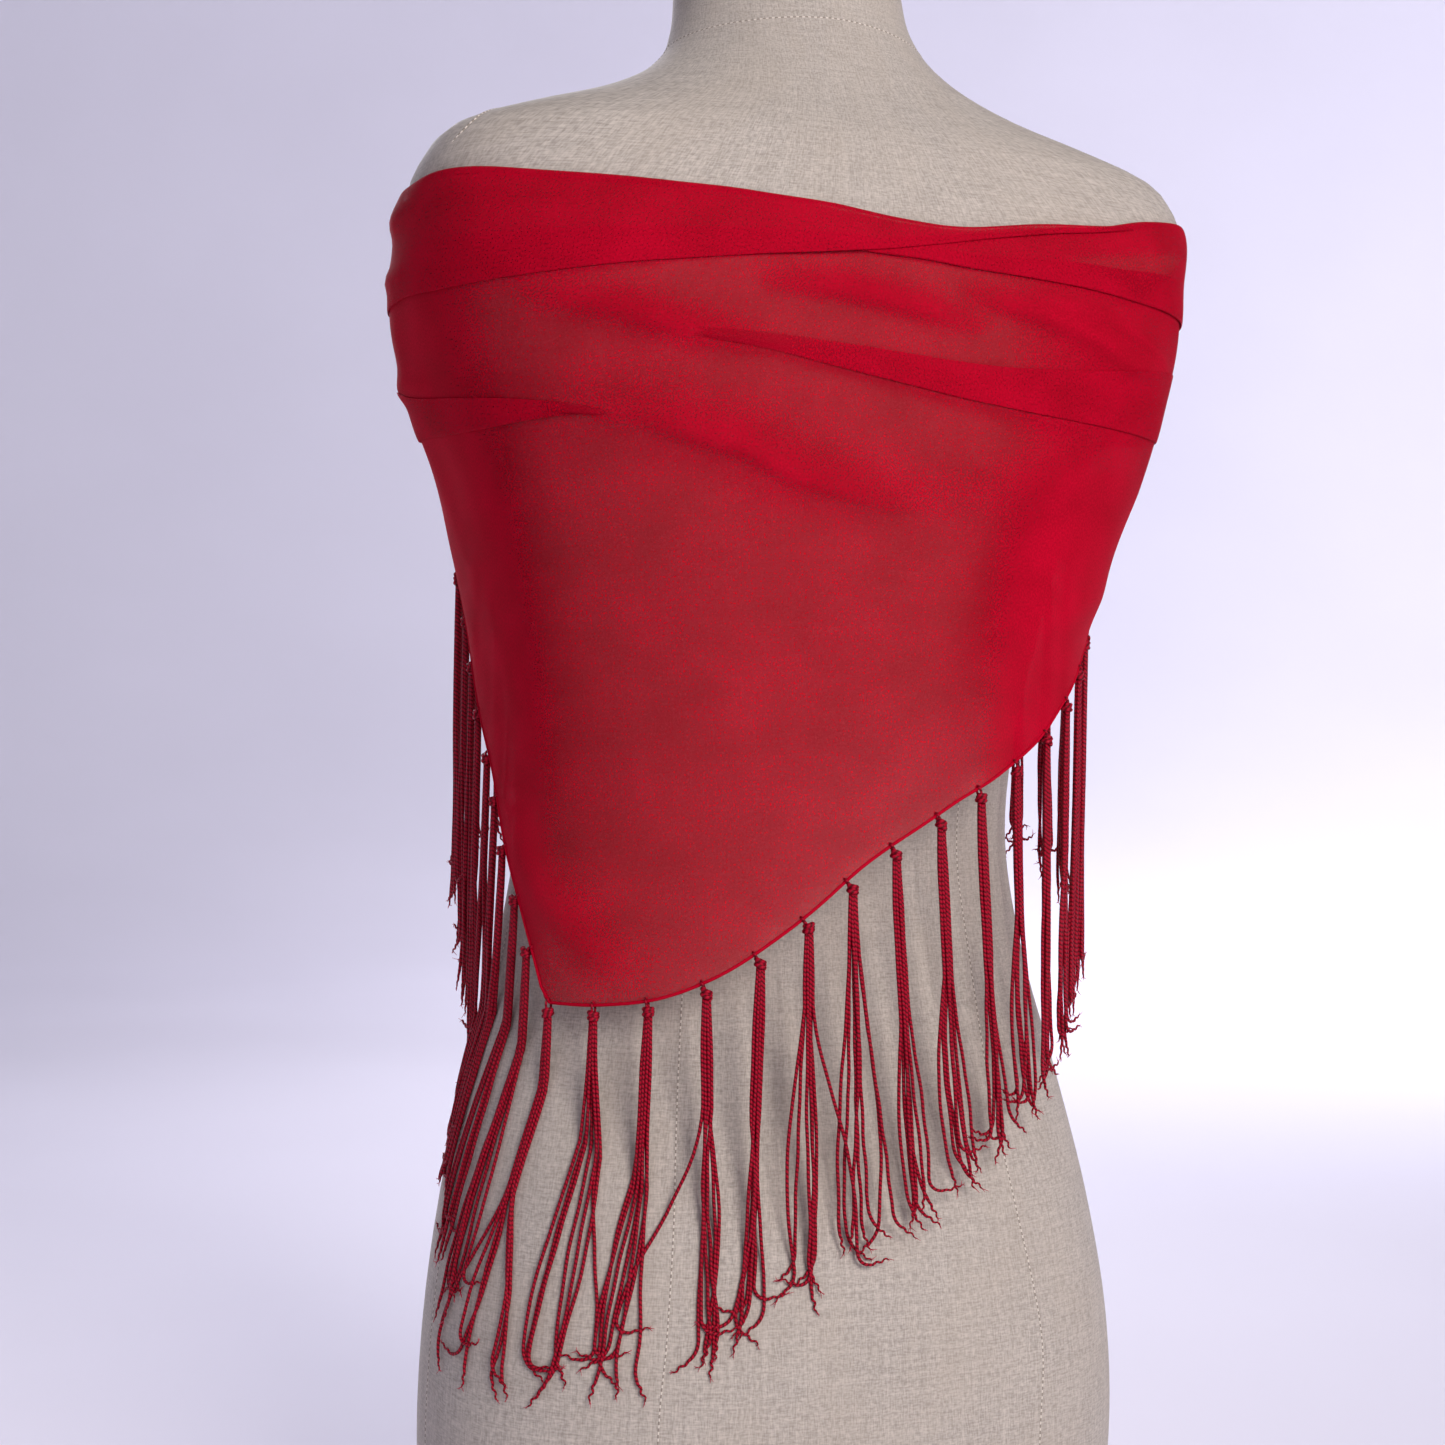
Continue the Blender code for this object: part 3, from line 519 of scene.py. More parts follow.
# %% [markdown]
# ## The folded bands
# The long edge of the triangle is folded down, and the cloth is pulled into pleats below it.
# Each band is its own strip laid over the cloth: its lower edge turns under in a small round
# lip, and its top rolls over the edge behind it.

# %% Edges of the bands
TOP_FOLD_LEFT = np.array([
    # angle, low, high
    (-148.0, 0.6540, 0.6900), (-135.0, 0.6480, 0.6945), (-118.0, 0.6460, 0.6955),
    (-99.0, 0.6460, 0.6945), (-88.0, 0.6455, 0.6935), (-73.0, 0.6430, 0.6920),
    (-62.0, 0.6445, 0.6885), (-46.0, 0.6500, 0.6857), (-28.0, 0.6560, 0.6837),
    (-9.0, 0.6605, 0.6795), (6.5, 0.6650, 0.6765), (20.0, 0.6700, 0.6760),
    (36.0, 0.6765, 0.6810), (50.0, 0.6822, 0.6848), (57.0, 0.6862, 0.6878),
])
TOP_FOLD_RIGHT = np.array([
    # angle, low, high
    (-8.0, 0.6612, 0.6650), (7.0, 0.6602, 0.6700), (20.0, 0.6582, 0.6735), (31.0, 0.6572, 0.6770),
    (41.0, 0.6560, 0.6815), (51.0, 0.6538, 0.6855), (61.0, 0.6530, 0.6925), (72.0, 0.6520, 0.6980),
    (90.0, 0.6515, 0.6990), (120.0, 0.6520, 0.6970), (150.0, 0.6530, 0.6930),
    (180.0, 0.6560, 0.6910), (195.0, 0.6650, 0.6910), (208.0, 0.6790, 0.6920),
])
TUCK_RIGHT = np.array([
    # angle, low, high
    (-35.0, 0.6195, 0.6235), (-24.5, 0.6165, 0.6225), (-10.0, 0.6105, 0.6208),
    (8.0, 0.6035, 0.6175), (22.0, 0.5990, 0.6160), (42.0, 0.5955, 0.6190), (60.0, 0.5950, 0.6260),
    (72.0, 0.5970, 0.6290), (90.0, 0.6020, 0.6310), (108.0, 0.6100, 0.6310),
    (122.0, 0.6200, 0.6270),
])
TUCK_LEFT = np.array([
    # angle, low, high
    (-148.0, 0.6080, 0.6140), (-134.0, 0.5990, 0.6170), (-120.0, 0.5930, 0.6160),
    (-106.0, 0.5890, 0.6125), (-95.0, 0.5870, 0.6060), (-84.0, 0.5850, 0.6010),
    (-72.0, 0.5838, 0.5975), (-62.0, 0.5850, 0.5945), (-52.0, 0.5865, 0.5910),
    (-46.0, 0.5860, 0.5880),
])


def band_height(band, angle, share):
    low = from_table(band, 1, angle)
    return low + share * (from_table(band, 2, angle) - low)


def cloth_top(angle):
    """The hidden upper edge of the cloth, part of the way up the bands."""
    left = band_height(TOP_FOLD_LEFT, np.maximum(angle, TOP_FOLD_LEFT[0, 0]), 0.42)
    right = band_height(TOP_FOLD_RIGHT, angle, 0.42)
    share = np.clip((angle + 8.0) / 28.0, 0, 1)
    past = band_height(TOP_FOLD_LEFT, TOP_FOLD_LEFT[0, 0], 0.97)
    inner = np.clip((-143.0 - angle) / 4.0, 0, 1)
    return (left * (1 - inner) + past * inner) * (1 - share) + right * share


print("bands", len(TOP_FOLD_LEFT) + len(TOP_FOLD_RIGHT) + len(TUCK_LEFT) + len(TUCK_RIGHT), "rows")

# %% [markdown]
# ## Laying the cloth
# A sheet is a grid of points, each put where its angle and height say, then given the thickness
# of the cloth with Solidify. Its UV map is in metres, so the yarn's grain keeps its size. The
# sheet is cut from one triangle, so all of it is one piece, from end to end round the form.

# %% Sheet helper and the scarf's cloth
CLOTH_THICKNESS = 0.35 * MM


def cloth_sheet(name, points, layers):
    """A thin closed shell on a grid of points, rows upwards and columns round the form."""
    rows, columns = points.shape[:2]
    index = np.arange(rows * columns).reshape(rows, columns)
    quads = np.stack([index[:-1, :-1], index[:-1, 1:], index[1:, 1:], index[1:, :-1]], axis=-1)
    mesh = bpy.data.meshes.new(name)
    mesh.from_pydata(points.reshape(-1, 3).tolist(), [], quads.reshape(-1, 4).tolist())
    steps = np.linalg.norm(np.diff(points, axis=1), axis=2).mean(axis=0)
    across = np.concatenate([[0.0], np.cumsum(steps)])
    rise = np.linalg.norm(np.diff(points, axis=0), axis=2)
    upwards = np.concatenate([np.zeros((1, columns)), np.cumsum(rise, axis=0)])
    upwards = upwards - upwards[-1]
    metres = np.stack([np.broadcast_to(across, (rows, columns)), upwards], axis=-1).reshape(-1, 2)
    layer = mesh.uv_layers.new(name="UVMap")
    layer.data.foreach_set("uv", metres[quads.reshape(-1)].ravel())
    cover = mesh.attributes.new("cover", "FLOAT", "POINT")
    cover.data.foreach_set("value", cover_of(np.broadcast_to(layers, (rows, columns))).ravel())
    sheet = bpy.data.objects.new(name, mesh)
    bpy.context.scene.collection.objects.link(sheet)
    bpy.ops.object.select_all(action="DESELECT")
    bpy.context.view_layer.objects.active = sheet
    sheet.select_set(True)
    wall = sheet.modifiers.new("cloth thickness", "SOLIDIFY")
    wall.thickness = CLOTH_THICKNESS
    wall.offset = 0.0
    bpy.ops.object.modifier_apply(modifier=wall.name)
    mesh.shade_smooth()
    give(sheet, chiffon)
    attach(sheet, "root")
    corners = points[:-1, :-1], points[:-1, 1:], points[1:, 1:], points[1:, :-1]
    twice_faces = np.cross(corners[2] - corners[0], corners[3] - corners[1])
    area = np.linalg.norm(twice_faces, axis=-1).sum() / 2
    print(name, len(mesh.polygons), "faces,", round(float(area), 4), "square metres")
    return sheet, float(area), float(across[-1])


def eased(value, start, end):
    """0 before start, 1 past end, and a smooth climb between them."""
    t = np.clip((value - start) / (end - start), 0, 1)
    return t * t * (3 - 2 * t)


def cloth_layers(angle, height):
    """One layer, more where a fold gathers the cloth and at the sides, where the pleats run in."""
    gathered = np.clip(fold_lift(angle, height, FOLDS, gathered=True), 0, 1.3)
    right = eased(angle, 22, 46) * (1 - 0.8 * eased(height, 0.53, 0.58))
    left = eased(-angle, 62, 84) * (1 - 0.5 * eased(height, 0.55, 0.60))
    return 1 + 1.1 * gathered + 3.4 * right + 2.6 * left


back_columns = np.linspace(LEFT_SIDE, RIGHT_SIDE, 231)
left_columns = np.linspace(LEFT_END, LEFT_SIDE, 50)[:-1]
right_columns = np.linspace(RIGHT_SIDE, RIGHT_END, 76)[1:]
columns = np.concatenate([left_columns, back_columns, right_columns])
angle, up = np.meshgrid(columns, np.linspace(0, 1, 125))
height = hem_height(angle) + (cloth_top(angle) - hem_height(angle)) * up
scarf, scarf_area, scarf_length = cloth_sheet(
    "scarf_cloth", cloth_place(angle, height, MID_CLOTH), cloth_layers(angle, height)
)
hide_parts("scarf_back", "scarf_front_left", "scarf_front_right")

# %% [markdown]
# ## The four folded strips
# Every strip has the same cross-section: out from under its own edge, round the lip, up the
# outside and back in at the top. A pleat ends flat on the cloth, a top band rolls right over.
# Where a fold runs out, its cover fades until only the cloth below is seen.

# %% Folded strips
# Each row: the share of the band's height, and how far off the cloth in mm.
TOP_ROLL = np.array([
    (0.16, 0.45), (0.06, 0.42), (0.010, 0.55), (-0.006, 0.85), (0.010, 1.15), (0.05, 1.35),
    (0.16, 1.50), (0.34, 1.40), (0.55, 1.60), (0.75, 1.55), (0.88, 1.20), (0.96, 0.60),
    (0.995, -0.20), (0.98, -0.90), (0.93, -1.30),
])
PLEAT = np.array([
    (0.30, 0.42), (0.10, 0.40), (0.02, 0.55), (-0.012, 0.85), (0.02, 1.20), (0.10, 1.40),
    (0.25, 1.35), (0.45, 1.05), (0.65, 0.75), (0.85, 0.55), (0.95, 0.45), (1.0, 0.40),
])
STRIP_ROWS = 44
STRIP_OFF = 0.35  # mm off the cloth, to which the profile's own height is added
STRIP_LAYERS = 1.7
THIN_CORNER = [(40, 0.668), (53.5, 0.655), (74, 0.687)]  # where the right band is one layer
SHOULDER_RADIUS = 0.17  # turns an angle to metres across, at the shoulders


def inside_corner(angle, height):
    """1 inside the three-cornered thin place, 0 outside, eased over 4 mm."""
    points = [(math.radians(a) * SHOULDER_RADIUS, h) for a, h in THIN_CORNER]
    across, nearest = np.radians(angle) * SHOULDER_RADIUS, np.full(np.shape(height), 1.0)
    for start, end in zip(points, points[1:] + points[:1]):
        run, rise = end[0] - start[0], end[1] - start[1]
        off = (run * (height - start[1]) - rise * (across - start[0])) / math.hypot(run, rise)
        nearest = np.minimum(nearest, off)
    return eased(nearest, -1.5 * MM, 2.5 * MM)


def over_right_band(angle):
    """The left band climbs over the right one at the centre of the back."""
    return 1.5 * MM * np.clip((angle + 30.0) / 18.0, 0, 1)


def lies_flat(angle):
    return 0 * angle


for name, band, climb, profile, fullness, columns, fades, node in (
    # fullness scales the profile's heights, and each end fades over so many degrees
    (
        "fold_top_left", TOP_FOLD_LEFT, over_right_band, TOP_ROLL, 0.55, 260, (0.5, 11),
        "top_fold_left",
    ),
    ("fold_top_right", TOP_FOLD_RIGHT, lies_flat, TOP_ROLL, 0.8, 250, (4, 0.5), "top_fold_right"),
    ("pleat_right", TUCK_RIGHT, lies_flat, PLEAT, 0.45, 200, (36, 16), "tuck_right"),
    ("pleat_left", TUCK_LEFT, lies_flat, PLEAT, 0.8, 140, (20, 14), "tuck_left"),
):
    share, out = smooth_rows(profile, STRIP_ROWS)
    angles = np.linspace(band[0, 0], band[-1, 0], columns)
    angle = np.broadcast_to(angles, (STRIP_ROWS, columns))
    from_ends = (angle - angles[0]) / fades[0], (angles[-1] - angle) / fades[1]
    run = np.clip(np.minimum(*from_ends), 0, 1)
    height = band_height(band, angle, share[:, None])
    lift = STRIP_OFF + fullness * out[:, None] * (0.3 + 0.7 * run)
    points = cloth_place(angle, height, MID_CLOTH + lift * MM + climb(angle))
    layers = STRIP_LAYERS * run**0.7
    if name == "fold_top_right":
        layers = layers - 0.6 * inside_corner(angle, height)
    cloth_sheet(name, points, layers)
    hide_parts(node)

# %% [markdown]
# ## The rolled hem and where the tassels hang
# A scarf like this has its edge rolled tight and stitched, a cord of cloth not 2 mm thick. It is
# a tube that follows the cloth's lower edge, from one end, down round the corner and up to the
# other. The same edge says where the tassels are knotted on: every 26 mm, one inch.

# %% Tube helper, hem and hem points
HEM_RADIUS = 0.75 * MM


def tube(path, radii, sides):
    """A tube along a path: its points, quads and UVs (round it, and metres along it)."""
    path = np.asarray(path, float)
    ahead = unit(np.gradient(path, axis=0))
    guide = np.array([0.0, 0.0, 1.0]) if abs(ahead[0, 2]) < 0.8 else np.array([0.6, -0.8, 0.0])
    side = np.empty_like(path)
    reference = unit(np.cross(guide, ahead[0]))
    for k in range(len(path)):
        reference = reference - ahead[k] * reference.dot(ahead[k])
        reference = reference / max(np.linalg.norm(reference), 1e-12)
        side[k] = reference
    other = np.cross(ahead, side)
    along = np.concatenate([[0.0], np.cumsum(np.linalg.norm(np.diff(path, axis=0), axis=1))])
    turn = np.linspace(0, 2 * np.pi, sides, endpoint=False)
    ring = side[:, None] * np.cos(turn)[:, None] + other[:, None] * np.sin(turn)[:, None]
    radii = np.broadcast_to(radii, len(path))
    points = (path[:, None] + ring * radii[:, None, None]).reshape(-1, 3)
    rows, index = len(path), np.arange(len(path) * sides).reshape(len(path), sides)
    after = np.roll(index, -1, axis=1)
    quads = np.stack([index[:-1], after[:-1], after[1:], index[1:]], axis=-1).reshape(-1, 4)
    round_it = np.arange(sides) / sides
    u = np.stack([round_it, round_it + 1 / sides, round_it + 1 / sides, round_it], axis=-1)
    u = np.broadcast_to(u, (rows - 1, sides, 4))
    v = np.stack([along[:-1], along[:-1], along[1:], along[1:]], axis=-1)[:, None]
    v = np.broadcast_to(v, (rows - 1, sides, 4))
    uv = np.stack([u + 0 * v, v + 0 * u], axis=-1).reshape(-1, 4, 2)
    caps = [list(index[0][::-1]), list(index[-1])]
    return points, quads, uv, caps


def tubes_object(name, tubes, material):
    """One object from many tubes, its normals pointing out."""
    points, faces, uvs, base = [], [], [], 0
    for tube_points, quads, uv, caps in tubes:
        points.append(tube_points)
        faces += (quads + base).tolist() + [[k + base for k in cap] for cap in caps]
        uvs.append(uv.reshape(-1, 2))
        uvs += [np.tile(uv[0, 0], (len(caps[0]), 1)), np.tile(uv[-1, 2], (len(caps[1]), 1))]
        base += len(tube_points)
    mesh = bpy.data.meshes.new(name)
    mesh.from_pydata(np.concatenate(points).tolist(), [], faces)
    layer = mesh.uv_layers.new(name="UVMap")
    layer.data.foreach_set("uv", np.concatenate(uvs).ravel())
    mesh.shade_smooth()
    made = bpy.data.objects.new(name, mesh)
    bpy.context.scene.collection.objects.link(made)
    give(made, material)
    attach(made, "root")
    return made


def hem_points(angles):
    angles = np.asarray(angles, float)
    return cloth_place(angles, hem_height(angles), MID_CLOTH)


hem_angles = np.concatenate([
    np.linspace(RIGHT_END, CORNER + 1.2, 560), np.linspace(CORNER - 1.2, LEFT_END, 380)
])
hem = tubes_object(
    "scarf_hem", [tube(hem_points(hem_angles), HEM_RADIUS, 8)], chiffon
)
cover = hem.data.attributes.new("cover", "FLOAT", "POINT")
cover.data.foreach_set("value", np.full(len(hem.data.vertices), 1.0))
print("scarf_hem", len(hem.data.polygons), "faces")

# %% [markdown]
# ## Twisted rayon cord
# The tassels are viscose rayon cords of two plies, shiny and deep red. The twist shows as small
# slanted beads about 2 mm long. They are drawn as a slanted wave on the cord's UV map, which
# paints shade into the groove between the plies and lifts the plies with a bump.

# %% Cord material
TWIST_PITCH = 2.0 * MM
cord, tree, shader = new_material("twisted_viscose_cord", Roughness=0.5, Specular_IOR_Level=0.15)
parts = add_node(tree, "ShaderNodeSeparateXYZ", Vector=own_uv(tree))
along = reckoned(tree, "DIVIDE", parts.outputs["Y"], TWIST_PITCH)
slant = reckoned(tree, "ADD", along, parts.outputs["X"])
wave = reckoned(tree, "SINE", reckoned(tree, "MULTIPLY", slant, 2 * math.pi))
ply_and_groove_shade = ranged(tree, wave, -1.0, 0.6)
# Painted shade: the dark red lies in the groove between the plies, the light red on the plies.
painted(tree, shader, blended(tree, ply_and_groove_shade, colour("#54000E"), colour("#A80326")))
bumped(tree, shader, ply_and_groove_shade, 0.6, 0.3 * MM)

frayed, tree, shader = new_material("frayed_viscose_ends", Roughness=0.6)
place = add_node(tree, "ShaderNodeTexCoord").outputs["Object"]
noise = add_node(tree, "ShaderNodeTexNoise", Vector=place, Scale=600.0, Detail=1.0)
pale_ends = blended(tree, noise.outputs["Fac"], colour("#A00826"), colour("#C43A54"))
painted(tree, shader, pale_ends)
print(cord.name, "and", frayed.name)

# %% [markdown]
# ## Tassels
# A tassel is a bundle of cords drawn through the edge as a loop and tied in one overhand knot
# below it. Above, the loop holds the hem. Below, the cords first hang packed together, then open,
# cross, bend and end in small frayed hooks, and where they touch the hips they lie on them.

# %% Tassel shapes
TASSEL_SPACING = 26 * MM
TASSEL_LENGTH = 168 * MM
CORD_RADIUS = 0.78 * MM
TAIL_START = 0.88  # the share of a cord's length where its tail starts to curl
CORD_SHARES = np.concatenate([np.linspace(0, TAIL_START, 27)[:-1], np.linspace(TAIL_START, 1, 24)])
CORD_STEPS = len(CORD_SHARES)
HEM_CROSSING, FRINGE_END = -174.0, 191.0  # where the left and the right fringe end
# Where each cord of a bundle starts, across the knot and off the form, in mm.
CORD_STARTS = (
    (-2.0, 0.5), (-0.7, 0.9), (0.7, 0.9), (2.0, 0.5), (-1.3, -0.6), (0.0, -0.5), (1.3, -0.6),
)
KNOT_DROP, KNOT_OUT = 4.6 * MM, 0.3 * MM  # below the hem and off the form
OVER_FRONT, FRONT_OUT = 181, 1.6 * MM  # past this angle a knot hangs over the other end
# For the tassels of the back: how far each leans by its end, where it opens, and its cords' ends.
TASSEL_LOOKS = {
    # number: lean mm, opens at share, ends across in mm
    1: (-12, 0.45, (-22, -6, 12, 16, -4, -2, 12)),
    2: (-1, 0.12, (-8, -6, 1, 2, -7, 2, 16)),
    3: (-6, 0.30, (-4, -2, 3, 8, -2, 1, 2)),
    4: (6, 0.30, (-34, -1, 1, 3, -2, 0, 2)),
    5: (-3, 0.40, (-4, -2, 1, 6, -3, 0, 2)),
    6: (4, 0.20, (-5, 0, 1, 20, -4, 0, 1)),
    7: (8, 0.08, (-9, -3, 2, 12, -5, 0, 7)),
    8: (16, 0.45, (-3, -1, 1, 3, -2, 0, 1)),
    9: (16, 0.40, (-4, -1, 2, 4, -2, 1, 2)),
    10: (16, 0.45, (-3, -1, 1, 4, -2, 0, 2)),
    11: (12, 0.40, (-4, -2, 2, 4, -3, 0, 3)),
    12: (6, 0.40, (-3, -1, 1, 3, -2, 0, 2)),
    13: (3, 0.40, (-3, -1, 1, 3, -2, 0, 2)),
    30: (-12, 0.30, (-6, -3, 1, 4, -4, -1, 2)),
    31: (-16, 0.30, (-5, -3, 1, 4, -4, -1, 2)),
    32: (-20, 0.30, (-5, -2, 1, 4, -3, -1, 2)),
    33: (-16, 0.30, (-4, -2, 1, 4, -3, -1, 2)),
    34: (-10, 0.30, (-4, -2, 1, 4, -3, -1, 2)),
}


def spaced_angles(first, last, spacing, skip):
    """Angles at even spacing along the hem between two angles, from skip past the first."""
    angles = np.linspace(first, last, round(abs(last - first)) * 4 + 1)
    points = hem_points(angles)
    along = np.concatenate([[0.0], np.cumsum(np.linalg.norm(np.diff(points, axis=0), axis=1))])
    return np.interp(np.arange(skip, along[-1], spacing), along, angles)


right_angles = spaced_angles(CORNER, FRINGE_END, TASSEL_SPACING, 2 * MM)[:29]
left_angles = spaced_angles(CORNER, HEM_CROSSING, TASSEL_SPACING, TASSEL_SPACING)[:15]
print(len(right_angles), "tassels on the right hem,", len(left_angles), "on the left")


def hem_frame(angle):
    """At an angle of the hem: the point, the way off the cloth, along the ground and outwards."""
    here, before, after = hem_points([angle, angle - 0.5, angle + 0.5])
    above = cloth_place(angle, hem_height(angle) + 5 * MM, MID_CLOTH)
    edge = unit(after - before)
    off = above - here
    off = unit(edge * off.dot(edge) - off)
    level = unit(np.array([edge[0], edge[1], 0.0]))
    outward = np.array([level[1], -level[0], 0.0])
    return here, off, level, outward


def cord_path(start, level, outward, lean, opens, end, length, chance):
    """One cord from the knot down: packed, then opening and closing, with a curled, kinked tail."""
    s = CORD_SHARES
    open_share = eased(s, opens, 0.92)
    bow = chance.choice((0, 0, 1, -1)) * chance.uniform(1.5, 4.5)
    bowed = bow * np.sin(np.pi * np.clip((s - opens) / (0.93 - opens), 0, 1))
    bends = chance.uniform(0.3, 0.9) * np.sin(s * chance.uniform(7, 13) + chance.uniform(0, 6)) * s
    kinks = chance.uniform(0.1, 0.4) * np.sin(s * chance.uniform(28, 44) + chance.uniform(0, 6)) * s
    # The tail turns away from straight down, and wriggles where its twist has come loose.
    turn = chance.choice((-1, 1)) * chance.choice((0.2, 0.5, 0.9, 1.9)) * eased(s, TAIL_START, 0.97)
    wriggle = 0.7 * np.sin(s * 2 * np.pi / 0.028 + chance.uniform(0, 6)) * eased(s, 0.94, 0.97)
    heading = turn + wriggle
    step = np.diff(s, prepend=0.0) * length
    across = (lean * s**1.25 + end * open_share + bowed + bends + kinks) * MM
    across = across + np.cumsum(np.sin(heading) * step)
    depth = (chance.uniform(-0.4, 1.0) * np.sin(s * chance.uniform(5, 9)) * s) * MM
    path = start + level * across[:, None] + outward * depth[:, None]
    path[:, 2] -= np.cumsum(np.cos(heading) * step)
    return path


def fray(end, ahead, chance):
    """A few hairs that spring from a cord's end."""
    hairs = []
    for _ in range(3):
        way = unit(ahead + np.array([chance.uniform(-0.7, 0.7) for _ in range(3)]))
        bend = np.array([chance.uniform(-0.6, 0.6) for _ in range(3)])
        reach = chance.uniform(1.2, 2.8) * MM
        s = np.linspace(0, 1, 4)[:, None]
        path = end + (way * s + bend * s**2 * 0.6) * reach
        hairs.append(tube(path, np.linspace(0.26, 0.1, 4) * MM, 3))
    return hairs


def tassel(number, angle, chance):
    here, off, level, outward = hem_frame(angle)
    knot = here + off * KNOT_DROP + outward * KNOT_OUT
    over_front = angle > OVER_FRONT
    if over_front:
        knot = knot + outward * FRONT_OUT
    lean, opens, ends = TASSEL_LOOKS.get(number, (
        chance.uniform(-5, 5), chance.uniform(0.15, 0.45),
        [chance.uniform(-5, 5) for _ in CORD_STARTS],
    ))
    cords, frays = [], []
    for (across, depth), end in zip(CORD_STARTS, ends):
        start = knot + level * across * 0.6 * MM + outward * depth * MM
        start = start + np.array([0, 0, -1.5 * MM])
        length = TASSEL_LENGTH * chance.uniform(0.92, 1.0)
        path = cord_path(start, level, outward, lean, opens, end, length, chance)
        pack = across * 0.4 * np.clip(CORD_SHARES * 8, 0, 1) * MM
        path = path + level * pack[:, None]
        path = clear_of(FORM_SECTIONS, path, CORD_RADIUS + 0.4 * MM + max(depth, 0) * 0.9 * MM)
        if over_front:
            path = clear_of(DRAPE_SECTIONS, path, 6.5 * MM + depth * MM)
        radii = np.full(CORD_STEPS, CORD_RADIUS)
        radii[-12:] = np.linspace(0.72, 0.38, 12) * MM
        made = tube(path, radii, 6)
        made[2][:, :, 1] += chance.uniform(0, TWIST_PITCH)
        cords.append(made)
        frays += fray(path[-1], unit(path[-1] - path[-2]), chance)
    # The knot: two and a half turns of the bundle, tilted, with the loop through the hem above it.
    turn = np.linspace(0, 5 * np.pi, 40)
    tilt = chance.uniform(-0.5, 0.5)
    swell = 1.75 + 0.25 * np.sin(turn * 0.5)
    wraps = (
        level * (np.cos(turn) * swell)[:, None]
        + outward * (np.sin(turn) * swell)[:, None]
        + np.array([0, 0, 1.0]) * (np.linspace(-1.5, 1.5, 40) + tilt * np.cos(turn) * 1.6)[:, None]
    )
    cords.append(tube(knot + wraps * MM, 1.05 * MM, 7))
    turn = np.linspace(0, 2 * np.pi, 22)
    loop = (
        here + off * 1.2 * MM
        + (-off) * (np.cos(turn) * 2.6 * MM)[:, None] + outward * (np.sin(turn) * 1.5 * MM)[:, None]
    )
    cords.append(tube(loop, 0.6 * MM, 6))
    name = f"tassel_cords_{number:02d}"
    made = tubes_object(name, cords + frays, cord)
    made.data.materials.append(frayed)
    hair_faces = sum(len(part[1]) + 2 for part in frays)
    index = np.zeros(len(made.data.polygons), dtype=np.int32)
    index[-hair_faces:] = 1
    made.data.polygons.foreach_set("material_index", index)
    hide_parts(f"tassel_{number:02d}")
    return made


chance = random.Random(5)
for number, angle in enumerate([*right_angles, *left_angles], start=1):
    tassel(number, float(angle), chance)

# %% [markdown]
# The scarf's width is its deepest part and its length is the way round the form.

# %% [markdown]
# ## Seams of the cover
# The linen is sewn from shaped panels. Their seams run down the back, sides and front of the body,
# over the shoulders and round the neck, as narrow ridges with a row of small pale stitches, and
# painted shade in the gaps between the stitches.

# %% Seams and stitches
SEAM_RADIUS, SEAM_SUNK = 0.42 * MM, 0.18 * MM
STITCH_LENGTH = 2.8 * MM
FRONT_SEAM = [(145, 0.690), (140, 0.600)]
FRONT_SEAM += [(139, height) for height in (0.500, 0.402, 0.290, 0.170, 0.016)]
SIDE_SEAM = [(90, height) for height in (0.640, 0.500, 0.402, 0.290, 0.170, 0.016)]
SHOULDER_SEAM = [(80, 0.706), (79, 0.716), (82, 0.724), (90, 0.735), (92, 0.760), (92, 0.778)]


def mirrored(line):
    return [(-angle, height) for angle, height in line]


SEAMS = {
    # name: (angle, height) points
    "back_left": [(-36, 0.640), (-39, 0.520), (-40.5, 0.402), (-40.5, 0.332), (-40, 0.279),
                  (-39.5, 0.234), (-40, 0.189), (-41, 0.148), (-41, 0.060), (-41, 0.016)],
    "back_right": [(38, 0.640), (40, 0.520), (43, 0.402), (43.5, 0.345), (41, 0.291), (41, 0.24),
                   (43, 0.178), (41.5, 0.133), (41, 0.060), (41, 0.016)],
    "front_left": mirrored(FRONT_SEAM),
    "front_right": FRONT_SEAM,
    "side_left": mirrored(SIDE_SEAM),
    "side_right": SIDE_SEAM,
    "shoulder_left": mirrored(SHOULDER_SEAM),
    "shoulder_right": SHOULDER_SEAM,
    "neck": [(angle, 0.7815 - 0.012 * abs(math.sin(math.radians(angle) / 2)) ** 1.5)
             for angle in range(-180, 181, 12)],
}
seam, tree, shader = new_material("linen_seam_stitches", Roughness=0.85)
parts = add_node(tree, "ShaderNodeSeparateXYZ", Vector=own_uv(tree))
turns = reckoned(tree, "MULTIPLY", parts.outputs["Y"], 2 * math.pi / STITCH_LENGTH)
stitch_and_gap_shade = ranged(tree, reckoned(tree, "SINE", turns), -0.1, 0.3)
# Painted shade: the dark colour fills the gaps between the stitches, the pale one is the thread.
painted(tree, shader, blended(tree, stitch_and_gap_shade, colour("#91877C"), colour("#D9D0C4")))
seam_tubes = []
for line in SEAMS.values():
    path = off_surface(FORM_SECTIONS, *smooth_rows(line, 160), -SEAM_SUNK)
    seam_tubes.append(tube(path, SEAM_RADIUS, 6))
tubes_object("form_seams", seam_tubes, seam)
print("form_seams", len(seam_tubes), "seams")

# %% [markdown]
# ## Floor and room
# The form stands on a plain pale floor whose edge sweeps up far behind it, all round, so that no
# line shows where floor and wall meet and any side can be looked at.

